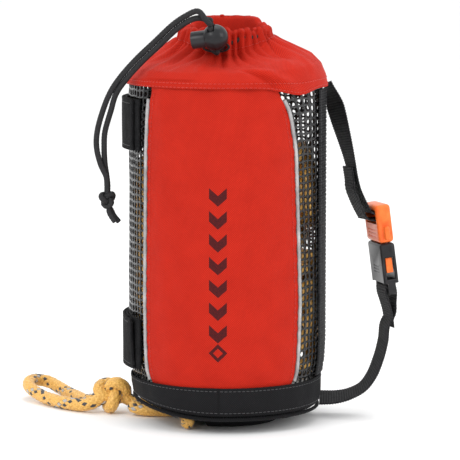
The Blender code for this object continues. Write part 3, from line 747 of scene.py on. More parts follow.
# black and silver tracers, as short marks along the rope
marks = np.zeros((len(line), PACKED_SIDES))
rows = np.arange(len(line))
marks[rows % 7 == 0, 0] = marks[rows % 7 == 3, 5] = 1.0
marks[rows % 11 == 5, 3] = 2.0
yarn = stuffed_rope.data.attributes.new("yarn", "FLOAT", "POINT")
yarn.data.foreach_set("value", np.concatenate([marks.reshape(-1), [0, 0]]).astype(np.float32))
keep(stuffed_rope, GOLD_ROPE, "bag", "rope", "rope_bundle")

# ---- front panel ---------------------------------------------------------------------------
# Red coated pack cloth, sewn down both sides under the piping and into the collar and base.
# It carries a printed column of plain chevrons in dark ink.
LEFT_EDGE = [(26, -49.0), (42, -50.6), (92, -51.3), (199, -49.7), (225, -48.2), (249, -45.0)]
RIGHT_EDGE = [(26, 49.0), (43, 50.2), (93, 51.8), (199, 48.0), (225, 43.5), (235, 39.0), (246, 35.0)]


WALL_R = 70.0
SEAM_GAP = 1.9


def wall_radius(z):
    """The bag's round wall, drawn in a little at the base and under the collar."""
    return between([(26, 66.0), (34, 66.8), (44, 69.2), (60, WALL_R), (235, WALL_R), (249, 69.4)], z)


def creases(angle, z):
    """Soft hand-worn folds in the wall cloth, in mm outwards."""
    a = math.radians(angle)
    long_folds = math.sin(7.3 * a + 0.9 * math.sin(z * 0.021) + 0.6) * math.sin(z * 0.0135 + 2.2 * a)
    small = math.sin(z * 0.11 + 9 * a) * math.sin(19 * a - z * 0.05 + 1.1)
    return 0.55 * long_folds + 0.18 * small


def panel_point(t, z):
    """The panel from its left seam (t=0) to its right one (t=1), puckered beside the seams."""
    left, right = between(LEFT_EDGE, z), between(RIGHT_EDGE, z)
    inset = math.degrees(SEAM_GAP / wall_radius(z))
    angle = left + inset + (right - left - 2 * inset) * t
    edge = min(t, 1 - t) * (right - left) * 1.22
    pucker = 0.32 * math.sin(z * 2 * math.pi / 9.5 + 3 * math.sin(z * 0.07)) * math.exp(-edge / 4.5)
    belly = ramp(edge, 0, 14)
    top = ramp(z, 205, 244)
    gather = 0.5 * top * math.sin(math.radians(angle) * 17 + 0.4) * belly
    return around(wall_radius(z) + (creases(angle, z) + 0.5) * belly * (1 - 0.3 * top) + pucker + gather,
                  angle, z)


# dark and light red, weave pitch and height in metres, roughness, sheen
RED_WEAVE = ((0.30, 0.008, 0.003), (0.72, 0.032, 0.013), 0.00095, 0.00034, 0.60, 0.01)
PRINT_MIDDLE = -0.0012
CHEVRON_SLOPE, CHEVRON_START, CHEVRON_PITCH = 0.9, 0.0500, 0.0160
CHEVRON_INK, CHEVRON_HALF = 0.0074, 0.0062
COLUMN_FOOT, COLUMN_TOP = 0.0660, 0.1775
DIAMOND_AT, DIAMOND_OUTER, DIAMOND_INNER = 0.0590, 0.0066, 0.0034


def printed_cloth():
    """The red cloth with a column of chevrons and a diamond printed down its middle.

    All lengths are on the cloth, in metres: across from the bag's axis, up from the ground."""
    mat = cloth_material("red_pack_cloth_printed", *RED_WEAVE)
    tree = mat.node_tree
    shader = tree.nodes["Principled BSDF"]
    along = cloth_lengths(tree)
    split = tree.nodes.new("ShaderNodeSeparateXYZ")
    tree.links.new(along, split.inputs["Vector"])
    up = split.outputs["Y"]

    def sum_of(operation, *values):
        return worked_out(tree, operation, *values)

    side = sum_of("ABSOLUTE", sum_of("SUBTRACT", split.outputs["X"], PRINT_MIDDLE))
    lean = sum_of("MULTIPLY_ADD", side, -CHEVRON_SLOPE, up)
    step = sum_of("MODULO", sum_of("ADD", lean, -CHEVRON_START), CHEVRON_PITCH)
    stripe = sum_of("LESS_THAN", step, CHEVRON_INK)
    within = sum_of("LESS_THAN", side, CHEVRON_HALF)
    above = sum_of("GREATER_THAN", lean, COLUMN_FOOT)
    below = sum_of("LESS_THAN", lean, COLUMN_TOP)
    chevrons = sum_of("MULTIPLY", sum_of("MULTIPLY", stripe, within), sum_of("MULTIPLY", above, below))
    rise = sum_of("ABSOLUTE", sum_of("SUBTRACT", up, DIAMOND_AT))
    outer = sum_of("LESS_THAN", sum_of("ADD", side, rise), DIAMOND_OUTER)
    inner = sum_of("GREATER_THAN", sum_of("ADD", side, rise), DIAMOND_INNER)
    mark = sum_of("MAXIMUM", chevrons, sum_of("MULTIPLY", outer, inner))
    worn = tree.nodes.new("ShaderNodeTexNoise")
    worn.inputs["Scale"].default_value = 800.0
    tree.links.new(along, worn.inputs["Vector"])
    share = sum_of("MULTIPLY_ADD", worn.outputs["Fac"], 0.25, sum_of("ADD", mark, -0.22))
    ink = sum_of("MULTIPLY", mark, share)
    red = shader.inputs["Base Color"].links[0].from_socket
    tree.links.new(laid_over(tree, red, (0.030, 0.008, 0.010), ink), shader.inputs["Base Color"])
    return mat


RED_CLOTH = cloth_material("red_pack_cloth", *RED_WEAVE)
RED_PRINT = printed_cloth()
RED_THREAD = thread_material("red_thread", (0.30, 0.010, 0.006), (0.62, 0.035, 0.02))
panel_heights = list(np.arange(26.5, 245.6, 1.2))
panel = sheet_from("front_panel_cloth", panel_point, list(np.linspace(0, 1, 110)), panel_heights, 0.0011)
cloth = panel.data.uv_layers["cloth"]
for loop in panel.data.loops:
    co = panel.data.vertices[loop.vertex_index].co
    cloth.data[loop.index].uv = (math.atan2(co.x, -co.y) * WALL_R / 1000, co.z)
keep(panel, RED_PRINT, "bag", "red_cloth", "front_panel")


def panel_line(inset_mm, low, high, side):
    """A line up the panel, the same distance from one seam all the way."""
    route = []
    for z in np.arange(low, high, 2.0):
        t = inset_mm / (math.radians(between(RIGHT_EDGE, z) - between(LEFT_EDGE, z)) * wall_radius(z))
        route.append(panel_point(t if side < 0 else 1 - t, z))
    return route


for name, side, top in (("panel_stitches_left", -1, 243), ("panel_stitches_right", 1, 232)):
    row = stitch_row(name, panel_line(3.4, 36, top, side), 0.24, 2.3, 0.9, lift=0.15)
    keep(row, RED_THREAD, "bag", "red_cloth")

# ---- netting sides -----------------------------------------------------------------------
# Vinyl-coated netting with small eight-sided holes, black and glossy. One narrow strip runs
# between the panel and the side webbing, and one wide piece goes all the way round the back.
def netting(name, low_angle, high_angle, low, high, columns, rows):
    """Netting as real strands: each mesh cell is a frame round an eight-sided hole."""
    verts, faces, index = [], [], {}

    def place(i, j):
        """Point at cell coordinates, i across and j up, on the wall."""
        key = (round(i, 3), round(j, 3))
        if key not in index:
            z = low + (high - low) * j / rows
            z += 0.35 * math.sin(i * 1.9 + j * 0.7)
            lo, hi = low_angle(z), high_angle(z)
            angle = lo + (hi - lo) * i / columns
            edge = min(i, columns - i)
            sag = (creases(angle, z) * 1.1 - 0.45) * min(1.0, edge / 2.0)
            angle += 0.30 * math.sin(j * 1.3 + i * 0.35) * min(1.0, edge / 1.5)
            index[key] = len(verts)
            verts.append(tuple(around(wall_radius(z) + sag, angle, z) / 1000))
        return index[key]

    ring = [(0, 0), (0.5, 0), (1, 0), (1, 0.5), (1, 1), (0.5, 1), (0, 1), (0, 0.5)]
    hole = [(0.19, 0.19), (0.5, 0.105), (0.81, 0.19), (0.895, 0.5), (0.81, 0.81), (0.5, 0.895),
            (0.19, 0.81), (0.105, 0.5)]
    for j in range(rows):
        for i in range(columns):
            out = [place(i + a, j + b) for a, b in ring]
            ins = [place(i + a, j + b) for a, b in hole]
            for k in range(8):
                m = (k + 1) % 8
                faces.append((out[k], out[m], ins[m], ins[k]))
    mesh = bpy.data.meshes.new(name)
    mesh.from_pydata(verts, [], faces)
    mesh.update()
    obj = bpy.data.objects.new(name, mesh)
    bpy.context.scene.collection.objects.link(obj)
    thick_sheet(obj, 0.0010)
    obj.data.polygons.foreach_set("use_smooth", np.ones(len(obj.data.polygons), bool))
    return obj


def vinyl_material():
    """Black vinyl skin on the netting yarn: glossy, slightly uneven."""
    mat, tree, shader = new_finish("vinyl_netting", 0.24, 0.4)
    skin = speckle(tree, 700.0)
    tone = toned(tree, skin, (0.002, 0.002, 0.0025), (0.010, 0.010, 0.011))
    tree.links.new(tone, shader.inputs["Base Color"])
    raise_grain(tree, shader, skin, 0.0005, 0.5)
    return mat


VINYL_NETTING = vinyl_material()
NET_LOW, NET_HIGH, NET_ROWS = 27, 245, 44
NETTINGS_MEET = 82.0


def off_piping(z):
    """The angle that the piping takes up beside a seam."""
    return math.degrees(SEAM_GAP / wall_radius(z))


netting_right = netting("netting_strip_right", lambda z: between(RIGHT_EDGE, z) + off_piping(z),
                        lambda z: NETTINGS_MEET - 0.3, NET_LOW, NET_HIGH, 6, NET_ROWS)
netting_left = netting("netting_round_back", lambda z: NETTINGS_MEET + 0.3,
                       lambda z: 360 + between(LEFT_EDGE, z) - off_piping(z), NET_LOW, NET_HIGH, 52, NET_ROWS)
keep(netting_right, VINYL_NETTING, "bag", "netting", "netting_right")
keep(netting_left, VINYL_NETTING, "bag", "netting", "netting_left")

# ---- reflective piping ------------------------------------------------------------------
# Silver-grey reflective tape folded over a thin cord, sewn into both seams of the panel.
def reflective_material():
    """Silver-grey reflective tape: fine glass-bead grain and a few rubbed places."""
    mat, tree, shader = new_finish("reflective_piping", 0.38)
    shader.inputs["Metallic"].default_value = 0.25
    beads, rubbed = speckle(tree, 2200.0), speckle(tree, 90.0, detail=4.0)
    total = worked_out(tree, "MULTIPLY_ADD", beads, 0.35, rubbed)
    tone = toned(tree, total, (0.16, 0.155, 0.155), (0.46, 0.455, 0.455), 0.42, 0.85)
    tree.links.new(tone, shader.inputs["Base Color"])
    return mat


REFLECTIVE = reflective_material()
for name, edge, node in (("reflective_piping_left", LEFT_EDGE, "piping_left"),
                         ("reflective_piping_right", RIGHT_EDGE, "piping_right")):
    seam = [tuple(around(wall_radius(z) - 0.1, between(edge, z), z)) for z in np.arange(35, 235.1, 8)]
    bead_line = bead(name, smooth_path(metres(seam), 0.0007), 0.00145, 12, ripple=0.05)
    keep(bead_line, REFLECTIVE, "bag", "piping", node)

# ---- side webbing --------------------------------------------------------------------------
# 25 mm ribbed webbing sewn flat up the right side, over the joint between the two nettings.
WEBBING_RIB = 1.9
WEBBING_WIDTH, WEBBING_PLY = 0.025, 0.0014


def webbing_material():
    """Black ribbed webbing: fine warp lines and a random mottle, with painted shade darkening the grooves
    between the ribs.
    """
    mat, tree, shader = new_finish("black_webbing", 0.62, 0.10)
    warp = bands(tree, cloth_lengths(tree), "X", 0.0012, 1.2)
    # painted shade: the rib height from the mesh makes the grooves between the ribs darker and the rib tops
    # lighter
    weave_and_groove_shade = worked_out(tree, "MULTIPLY_ADD", warp, 0.45, surface_mark(tree, "rib"))
    mottled_groove_shade = worked_out(tree, "MULTIPLY", weave_and_groove_shade, speckle(tree, 240.0, detail=5.0))
    tone = toned(tree, mottled_groove_shade, (0.002, 0.002, 0.0025), (0.050, 0.050, 0.053))
    tree.links.new(tone, shader.inputs["Base Color"])
    raise_grain(tree, shader, warp, 0.00025, 0.8)
    return mat


BLACK_WEBBING = webbing_material()


def mark_ribs(obj, rib, across):
    """Keep how high each point of the webbing stands on its rib, for the painted shade in the grooves."""
    values = np.concatenate([np.repeat(rib, across), [0.5, 0.5]])
    obj.data.attributes.new("rib", "FLOAT", "POINT").data.foreach_set("value", values.astype(np.float32))
    return face_outwards(obj)


def webbing_strip(name, centre, width_dirs, width, thickness):
    """Ribbed webbing along a line of centres with a width direction at each, in metres."""
    centre = np.asarray(centre, float)
    dirs = np.asarray(width_dirs, float)
    run = np.concatenate([[0], np.cumsum(np.linalg.norm(np.diff(centre, axis=0), axis=1))])
    tangent = np.gradient(centre, axis=0)
    tangent /= np.linalg.norm(tangent, axis=1)[:, None]
    dirs = dirs - tangent * (dirs * tangent).sum(1)[:, None]
    dirs /= np.linalg.norm(dirs, axis=1)[:, None]
    normal = np.cross(tangent, dirs)
    phase = run * 1000 * 2 * np.pi / WEBBING_RIB
    rib = 0.5 + 0.5 * np.cos(phase)
    across = np.array([-1, -0.985, -0.93, -0.75, -0.5, -0.25, 0, 0.25, 0.5, 0.75, 0.93, 0.985, 1.0])
    half = np.where(np.abs(across) > 0.99, 0.30, np.where(np.abs(across) > 0.98, 0.75, 1.0)) * thickness / 2
    loop = [(a, h) for a, h in zip(across, half)] + [(a, -h) for a, h in zip(across[::-1], half[::-1])]
    pts = np.zeros((len(centre), len(loop), 3))
    for k, (a, h) in enumerate(loop):
        grow = 1 - 0.45 * (1 - rib) * (abs(a) < 0.999)
        edge = a * (width / 2) * (1 - 0.022 * (1 - rib))
        pts[:, k] = centre + dirs * edge[:, None] + normal * (h * grow)[:, None]
    u = np.tile(np.array([a * width / 2 for a, _ in loop]), (len(centre), 1))
    v = np.tile(run[:, None], (1, len(loop)))
    return mark_ribs(grid_object(name, pts, uv=np.stack([u, v], -1), wrap=True, caps=True), rib, len(loop))


heights = np.arange(35.2, 240.4, 0.36)
lift = [1.15 + 0.6 * (1 - ramp(z, 36, 42)) for z in heights]


def curved_webbing(name, angle, half_width, heights, thickness, lift):
    """Webbing lying on the round wall, ribbed across, its edges following the curve."""
    across = np.linspace(-1, 1, 15)
    outer = []
    for z, l in zip(heights, lift):
        rib = 0.5 + 0.5 * math.cos(z * 2 * math.pi / WEBBING_RIB)
        middle, half = wall_radius(z) + l, thickness * (0.30 + 0.20 * rib)
        row = [around(middle + half, angle + half_width * a, z) for a in across]
        row += [around(middle - half, angle + half_width * a, z) for a in across[::-1]]
        outer.append([tuple(p / 1000) for p in row])
    pts = np.array(outer)
    u = np.tile(np.concatenate([across, across[::-1]]) * WEBBING_WIDTH / 2, (len(heights), 1))
    v = np.tile(np.array(heights)[:, None] / 1000, (1, 30))
    rib = 0.5 + 0.5 * np.cos(np.array(heights) * 2 * np.pi / WEBBING_RIB)
    return mark_ribs(grid_object(name, pts, uv=np.stack([u, v], -1), wrap=True, caps=True), rib, 30)


side_strip = curved_webbing("side_webbing_strip", 82, 10.2, heights, 1.4, lift)
keep(side_strip, BLACK_WEBBING, "bag", "webbing", "side_webbing")
for name, a in (("side_webbing_stitches_front", 73.6), ("side_webbing_stitches_back", 90.4)):
    route = [around(wall_radius(z) + l + 0.66, a, z) for z, l in zip(heights, lift)]
    row = stitch_row(name, route, 0.22, 2.2, 0.9, lift=0.1)
    keep(row, BLACK_THREAD, "bag", "webbing")

# ---- belt straps and their flaps --------------------------------------------------------
# Two wide hook-and-loop straps on the left let the bag hang from a belt or a boat. Each is
# a fixed band sewn to the netting, and a flap that closes over it and peels open.
def fleece_material():
    """Hook-and-loop webbing: a dull woven face with fine fuzz."""
    mat, tree, shader = new_finish("hook_and_loop", 0.85, 0.10)
    loops = speckle(tree, 1100.0, kind="Voronoi")
    both = worked_out(tree, "MULTIPLY", loops, speckle(tree, 160.0, detail=6.0))
    tone = toned(tree, both, (0.004, 0.004, 0.0045), (0.034, 0.034, 0.036))
    tree.links.new(tone, shader.inputs["Base Color"])
    raise_grain(tree, shader, loops, 0.0005)
    return mat


HOOK_AND_LOOP = fleece_material()
BELT_WIDTH = 36.0


def belt_band(name, low, first, last, outer, thickness, curl):
    """A strap round the left wall, its face a little quilted where it is sewn."""
    def point(angle, t):
        z = low + BELT_WIDTH * t
        edge = min(t, 1 - t) * BELT_WIDTH
        soft = -0.35 * math.exp(-((edge - 3.0) / 0.8) ** 2) + 0.10 * math.sin(angle * 0.9 + z * 0.21)
        out = curl * ramp(angle, -78, -60) * t
        return around(outer + out + soft * 0.6 - 0.05, angle, z)
    across = list(np.arange(first, last + 0.01, 0.9))
    return sheet_from(name, point, across, list(np.linspace(0, 1, 40)), thickness / 1000,
                      scale=(0.00125, BELT_WIDTH / 1000)), point


for level, low, curl in (("upper", 197.7, 0.0), ("lower", 41.8, 2.2)):
    strap, _ = belt_band(f"belt_strap_{level}_band", low, -152, -54.5, 72.2, 1.8, 0)
    keep(strap, HOOK_AND_LOOP, "bag", "hook_loop", f"belt_strap_{level}")
    flap, face = belt_band(f"belt_flap_{level}_band", low, -126, -59, 74.5, 1.9, curl)
    keep(flap, HOOK_AND_LOOP, f"flap_{level}", "hook_loop", f"belt_flap_{level}")
    for row_name, t in (("low", 3.0 / BELT_WIDTH), ("high", 33.0 / BELT_WIDTH)):
        route = [face(a, t) for a in np.arange(-124, -60, 1.5)]
        row = stitch_row(f"belt_flap_{level}_stitches_{row_name}", route, 0.22, 2.2, 0.9, 0.1)
        keep(row, BLACK_THREAD, f"flap_{level}", "hook_loop")

# ---- gathered collar ----------------------------------------------------------------------
# The same red cloth, sewn over the top of the panel and the netting with two rows of
# stitching, drawn in to a throat in deep pleats, and folded over as a channel for the cord.
COLLAR_LEFT = [(71.9, 243.5), (71.6, 248), (66, 253.6), (57.5, 259), (48, 265.2), (38, 269.4), (32.6, 271.6)]
COLLAR_RIGHT = [(71.9, 243.5), (71.6, 249.5), (68, 257.6), (60.5, 264.2), (50, 268.6), (39.5, 271.4),
                (32.6, 273)]
COLLAR_FRONT = [(71.9, 243.5), (71.6, 248.5), (67, 254), (58.5, 257.8), (48.5, 260.4), (39, 262.6),
                (32.9, 265)]
random = np.random.default_rng(5)
pleats = []
angle = -176.0
while angle < 180:
    front = abs(angle) < 75
    depth, width = random.uniform(3.0, 6.0) if front else random.uniform(1.8, 4.2), random.uniform(2.4, 4.0)
    pleats.append((angle, depth, width, random.uniform(0.15, 0.55), random.uniform(-12, 12)))
    angle += random.uniform(8, 15) if front else random.uniform(14, 25)


def apart(a, b):
    """How far angle a is past angle b, from -180 to 180 degrees."""
    return (a - b + 180) % 360 - 180


def collar_profile(angle):
    """The collar's section at an angle: up from the sewn edge, to the throat and the channel."""
    side, front = 0.5 + 0.5 * math.sin(math.radians(angle)), max(0.0, math.cos(math.radians(angle))) ** 2
    left, right, face = (np.array(p, float) for p in (COLLAR_LEFT, COLLAR_RIGHT, COLLAR_FRONT))
    outer = (left * (1 - side) + right * side) * (1 - front) + face * front
    outer[0, 1] -= 5.5 * math.exp(-(apart(angle, 50) / 16) ** 2)
    outer[0] += np.array((1.9, -1.6)) * math.exp(-(apart(angle, 80) / 11) ** 2)
    lift = 6.5 * (1 - ramp(abs(apart(180, angle)), 30, 80))
    neck = 1 - front
    outer[5] += np.array((1.5, 1.2)) * neck
    outer[6] += np.array((1.6, 3.0)) * neck
    channel = np.array([(32.9 - 0.6 * neck, 277.5 + lift * 0.5), (31.6 - 0.9 * neck, 281.6 + lift),
                        (28.9, 283.4 + lift), (26.6, 281.5 + lift), (25.6, 275 + lift * 0.4), (25.3, 268)])
    return np.vstack([outer, channel])


def collar_point(angle, t):
    """The collar from its sewn edge (t=0) to the throat (t=1), then the channel (t to 2)."""
    profile = collar_profile(angle)
    keys = [0, 0.10, 0.26, 0.45, 0.66, 0.86, 1.0, 1.2, 1.45, 1.6, 1.72, 1.86, 2.0]
    r, z = np.interp(t, keys, profile[:, 0]), np.interp(t, keys, profile[:, 1])
    drop = 0.0
    for at, depth, width, start, drift in pleats:
        place = apart(angle, at + drift * max(0.0, 1 - t))
        if abs(place) > 30:
            continue
        girth = width * (1.0 + 1.3 * max(0.0, 1 - t))
        fade = 1 if t < 1.25 else max(0.25, 1 - 1.6 * (t - 1.25))
        drop += depth * math.exp(-abs(place / girth) ** 1.45) * ramp(t, start, start + 0.5) * fade
    rear = ramp(abs(angle), 128, 152)
    drop *= 1 - 0.85 * rear
    a = math.radians(angle)
    wave = 0.55 * math.sin(23 * a + 2.4 * t + 0.8 * math.sin(5 * a)) + 0.35 * math.sin(41 * a - 3.0 * t)
    roll = 0.9 * math.sin(4.0 * a + 3.1 * t) * math.sin(2.3 * a + 5.0 * t + 0.7)
    body = ramp(t, 0.04, 0.30)
    fold = apart(angle, 34 - 60 * (t - 0.02))
    shoulder = -3.4 * math.exp(-(fold / 3.4) ** 2) + 2.8 * math.exp(-((fold - 8) / 6.0) ** 2)
    shoulder *= ramp(t, 0.0, 0.08) * (1 - ramp(t, 0.24, 0.42))
    crease = -1.7 * math.exp(-((t - 0.105) / 0.016) ** 2) * ramp(-abs(apart(angle, -30)), -24, -10)
    out = (1.9 * min(t, 1.0) * (1 - rear) - drop) * body
    out += (wave * min(1.0, t + 0.15) + roll) * body + shoulder + crease
    if t > 1.5:
        out *= 1 - 0.75 * ramp(t, 1.5, 1.75)
    up = 0.0
    if t > 1.0:
        up = (0.8 * math.sin(13 * a + 1.0) + 0.6 * math.sin(22 * a)) * (1 - 0.9 * rear) - 0.42 * drop
        up *= ramp(t, 1.0, 1.3) * (1 - ramp(t, 1.75, 2.0))
    tilt = 0.15 + 0.75 * ramp(t, 0.12, 0.40) * (1 - ramp(t, 0.92, 1.08))
    inner = t > 1.6
    push = out * (1 - 0.5 * tilt) * (-0.4 if inner else 1.0)
    return around(r + push, angle, z + out * tilt * (0 if t > 1.0 else 0.8) + up)


collar_rows = list(np.linspace(0, 1, 46)) + list(np.linspace(1.03, 2.0, 30))
collar = sheet_from("gathered_collar", collar_point, list(np.arange(-180, 180, 1.0)), collar_rows, 0.0010,
                    wrap=True, scale=(0.00122, 0.050))
keep(collar, RED_CLOTH, "bag", "red_cloth", "collar")
for name, t in (("collar_hem_stitches_low", 0.018), ("collar_hem_stitches_high", 0.075)):
    row = stitch_row(name, [collar_point(a, t) for a in np.arange(-180, 181, 1.5)], 0.25, 2.3, 0.9, lift=0.14)
    keep(row, RED_THREAD, "bag", "red_cloth")
channel_seam = [collar_point(a, 1.06) for a in np.arange(-180, 181, 1.0)]
channel_row = stitch_row("collar_channel_stitches", channel_seam, 0.24, 1.9, 0.8, lift=0.14)
keep(channel_row, RED_THREAD, "bag", "red_cloth")

# ---- drawcord in its channel ------------------------------------------------------------
# The same black cord runs round inside the channel, comes out of a stiffened eyelet plate
# at the front and goes up through the cord lock as two legs.
near_side = 1 if LOCK_SIDE.x < 0 else -1


def lock_leg(side):
    """One leg of the cord, from above the lock down through it."""
    return [through_lock(along, side * 2.35) for along in (10.6, 5, 0, -5, -9.6, -11.2)]


ring_route = lock_leg(near_side)
ring_route += [(-6.9, -37.4, 268.6), (-9, -33.2, 270.6), (-10.4, -28.1, 272), (-14.6, -24.3, 273.8)]
ring_route += [around(28.5, a, 276.8) for a in range(-50, -331, -10)]
ring_route += [(5.8, -28.1, 273.2), (1.9, -29.6, 271.8), (-0.6, -33.4, 270.6), (-1.4, -36.6, 270.2)]
ring_route += lock_leg(-near_side)[::-1]
drawcord = plaited_line("drawcord_in_channel", smooth_path(metres(ring_route), 0.0006),
                        **dict(cord_lay, around=24))
keep(drawcord, BLACK_CORD, "bag", "drawcord", "drawcord_ring")


# ---- cord lock and eyelet plate -------------------------------------------------------------
# A round black acetal cord lock. A sprung button slides in the ball, and the two cords are
# pinched between their holes until the button is pressed. The cord leaves the collar through
# an oval eyelet plate.
def plastic_material(name, dark, light, roughness):
    """Moulded acetal: a fine spark-eroded grain and flow marks; it is paler on sharp outer edges, and darker
    in hollows as painted shade.
    """
    mat, tree, shader = new_finish(name, roughness, 0.20)
    flow = speckle(tree, 130.0, detail=4.0, distortion=0.8)
    # painted shade: the surface's curvature makes hollows and grooves darker and sharp outer edges paler
    edges = tree.nodes.new("ShaderNodeNewGeometry").outputs["Pointiness"]
    total = worked_out(tree, "MULTIPLY_ADD", flow, 0.55, edges)
    tree.links.new(toned(tree, total, dark, light, 0.62, 0.95), shader.inputs["Base Color"])
    raise_grain(tree, shader, speckle(tree, 1500.0), 0.0002, 0.25)
    return mat


BLACK_PLASTIC = plastic_material("black_acetal", (0.004, 0.004, 0.005), (0.026, 0.026, 0.028), 0.30)
ORANGE_PLASTIC = plastic_material("orange_acetal", (0.70, 0.085, 0.012), (0.92, 0.21, 0.045), 0.32)


def part_frame(origin_mm, x_axis, z_axis):
    """A moulded part's own place: its Z is the given axis, its X as near the other as can be."""
    z = Vector(z_axis).normalized()
    y = z.cross(Vector(x_axis)).normalized()
    rot = Matrix((y.cross(z), y, z)).transposed().to_4x4()
    return Matrix.Translation(Vector(origin_mm) / 1000) @ rot


def start_shape(kind, name, place, stretch, **options):
    """A primitive added at the origin, sized and set in a part's own frame, in mm."""
    bpy.ops.object.select_all(action="DESELECT")
    getattr(bpy.ops.mesh, f"primitive_{kind}_add")(**options)
    obj = bpy.context.active_object
    obj.name = name
    obj.data.transform(Matrix.Diagonal((*(s / 1000 for s in stretch), 1)))
    obj.data.transform(Matrix.Translation(Vector(place) / 1000))
    return obj


def cut_away(obj, cutter, operation="DIFFERENCE"):
    """Cut one shape out of another, or join it on with UNION; the second one is used up."""
    bpy.ops.object.select_all(action="DESELECT")
    bpy.context.view_layer.objects.active = obj
    obj.select_set(True)
    cut = obj.modifiers.new("cut", "BOOLEAN")
    cut.operation = operation
    cut.solver = "EXACT"
    cut.object = cutter
    bpy.ops.object.modifier_apply(modifier="cut")
    bpy.data.objects.remove(cutter)


def soften(obj, width_mm, segments=3):
    """Round every sharp edge, then shade smoothly between the edges."""
    bpy.ops.object.select_all(action="DESELECT")
    bpy.context.view_layer.objects.active = obj
    obj.select_set(True)
    edge = obj.modifiers.new("rounded_edges", "BEVEL")
    edge.width = width_mm / 1000
    edge.segments = segments
    edge.limit_method = "ANGLE"
    edge.angle_limit = math.radians(38)
    edge.use_clamp_overlap = True
    bpy.ops.object.modifier_apply(modifier="rounded_edges")
    bpy.ops.object.shade_smooth_by_angle(angle=math.radians(40))


EXIT_FRAME = part_frame((-4.6, -32.3, 270.6), (1, 0, 0), (-0.14, -0.99, 0))
plate = start_shape("cylinder", "cord_exit_eyelet_plate", (0, 0, 1.9), (10.1, 4.2, 1.3), radius=1.0,
                    depth=1.0, vertices=40)
cut_away(plate, start_shape("cylinder", "plate_slot", (0, 0, 1.9), (8.4, 2.9, 8), radius=1.0, depth=1.0,
                            vertices=40))
soften(plate, 0.35, 2)
plate.data.transform(EXIT_FRAME)
keep(plate, BLACK_PLASTIC, "bag", "black_plastic", "cord_exit_plate")
LOCK_FRAME = part_frame(LOCK_AT, LOCK_UP, LOCK_AXIS)
ball = start_shape("uv_sphere", "cord_lock_ball", (0, 0, 0), (9.2, 9.2, 9.2), segments=48, ring_count=32,
                   radius=1.0)
cut_away(ball, start_shape("cylinder", "bore", (0, 0, 2.2), (6.45, 6.45, 15.6), radius=1.0, depth=1.0,
                           vertices=48))
cut_away(ball, start_shape("cube", "cord_way", (0, 0, 0.8), (24, 9.8, 4.9), size=1.0))
soften(ball, 0.25, 2)
ball.data.transform(LOCK_FRAME)
keep(ball, BLACK_PLASTIC, "bag", "black_plastic", "cord_lock_body")

button = start_shape("cylinder", "cord_lock_press_button", (0, 0, 6.7), (6.05, 6.05, 19.4), radius=1.0,
                     depth=1.0, vertices=48)
cut_away(button, start_shape("cylinder", "thumb_dish", (0, 0, 16.6), (4.3, 4.3, 1.2), radius=1.0, depth=1.0,
                             vertices=40))
cut_away(button, start_shape("cube", "cord_way", (0, 0, 1.7), (24, 9.6, 6.6), size=1.0))
soften(button, 0.45, 3)
button.data.transform(LOCK_FRAME)
keep(button, BLACK_PLASTIC, "lock_button", "black_plastic", "cord_lock_button")
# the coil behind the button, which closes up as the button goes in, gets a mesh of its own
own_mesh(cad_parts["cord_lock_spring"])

# ---- side-release buckle -------------------------------------------------------------------
# A 25 mm side-release buckle: an orange plug with two springy prongs, a tongue and a pull
# lug, snapped into a black housing whose side windows show the prongs.
BUCKLE_FRAME = part_frame((111.2, 10.0, 128.5), (0.292, -0.956, 0), (-0.126, 0, 0.992))


def buckle_block(name, place, stretch):
    """A block in the buckle's own frame, in mm."""
    return start_shape("cube", name, place, stretch, size=1.0)


def across_rod(name, x, y, z, radius, length):
    """A rod lying along the buckle's thickness, for round cuts."""
    rod = start_shape("cylinder", name, (0, 0, 0), (radius, radius, length), radius=1.0, depth=1.0,
                      vertices=64)
    rod.data.transform(Matrix.Translation(Vector((x, y, z)) / 1000) @ Matrix.Rotation(math.pi / 2, 4, "X"))
    return rod


housing = buckle_block("buckle_housing", (0, 0, -18.95), (34, 11, 37.5))
soften(housing, 2.3, 4)
for x in (-1, 1):
    cut_away(housing, across_rod("waist", x * 55.9, 0, -18.5, 40, 30))
for name, place, stretch in (("mouth", (0, 0, -12.8), (28.6, 7.2, 26.4)),
                             ("side_windows", (0, 0, -18.5), (50, 6.6, 16)),
                             ("webbing_slot", (0, 0, -31.0), (27, 40, 4.2)),
                             ("bar_front", (0, -4.6, -34.4), (50, 4, 10)),
                             ("bar_back", (0, 4.6, -34.4), (50, 4, 10))):
    cut_away(housing, buckle_block(name, place, stretch))
for y in (-1, 1):
    for k in range(3):
        cut_away(housing, buckle_block("grip_groove", (0, y * 5.6, -21.5 + 2.2 * k), (13, 0.9, 0.8)))
soften(housing, 0.3, 2)
housing.data.transform(BUCKLE_FRAME)
keep(housing, BLACK_PLASTIC, "bag", "black_plastic", "buckle_female")

plug = buckle_block("buckle_plug_body", (0, 0, 14.0), (34, 11, 27.5))
soften(plug, 2.6, 4)
cut_away(plug, buckle_block("webbing_slot", (0, 0, 19), (27, 40, 10)))
bar = start_shape("cylinder", "webbing_bar", (0, 0, 0), (1.6, 1.6, 30), radius=1.0, depth=1.0, vertices=24)
bar.data.transform(Matrix.Translation(Vector((0, 2, 19)) / 1000) @ Matrix.Rotation(math.pi / 2, 4, "Y"))
cut_away(plug, bar, "UNION")
cut_away(plug, buckle_block("tongue", (0, 0, -8.0), (7.0, 4.6, 20)), "UNION")
lug = buckle_block("pull_lug", (18.6, 0, 7.6), (6.0, 4.0, 9.5))
soften(lug, 1.4, 3)
cut_away(plug, lug, "UNION")
cut_away(plug, across_rod("lug_eye", 19.0, 0, 7.6, 1.1, 10))
for y in (-1, 1):
    for k in range(3):
        cut_away(plug, buckle_block("grip_groove", (0, y * 5.6, 4.6 + 2.4 * k), (20, 0.9, 0.9)))
soften(plug, 0.3, 2)
plug.data.transform(BUCKLE_FRAME)
keep(plug, ORANGE_PLASTIC, "buckle_plug", "orange_plastic", "buckle_male")

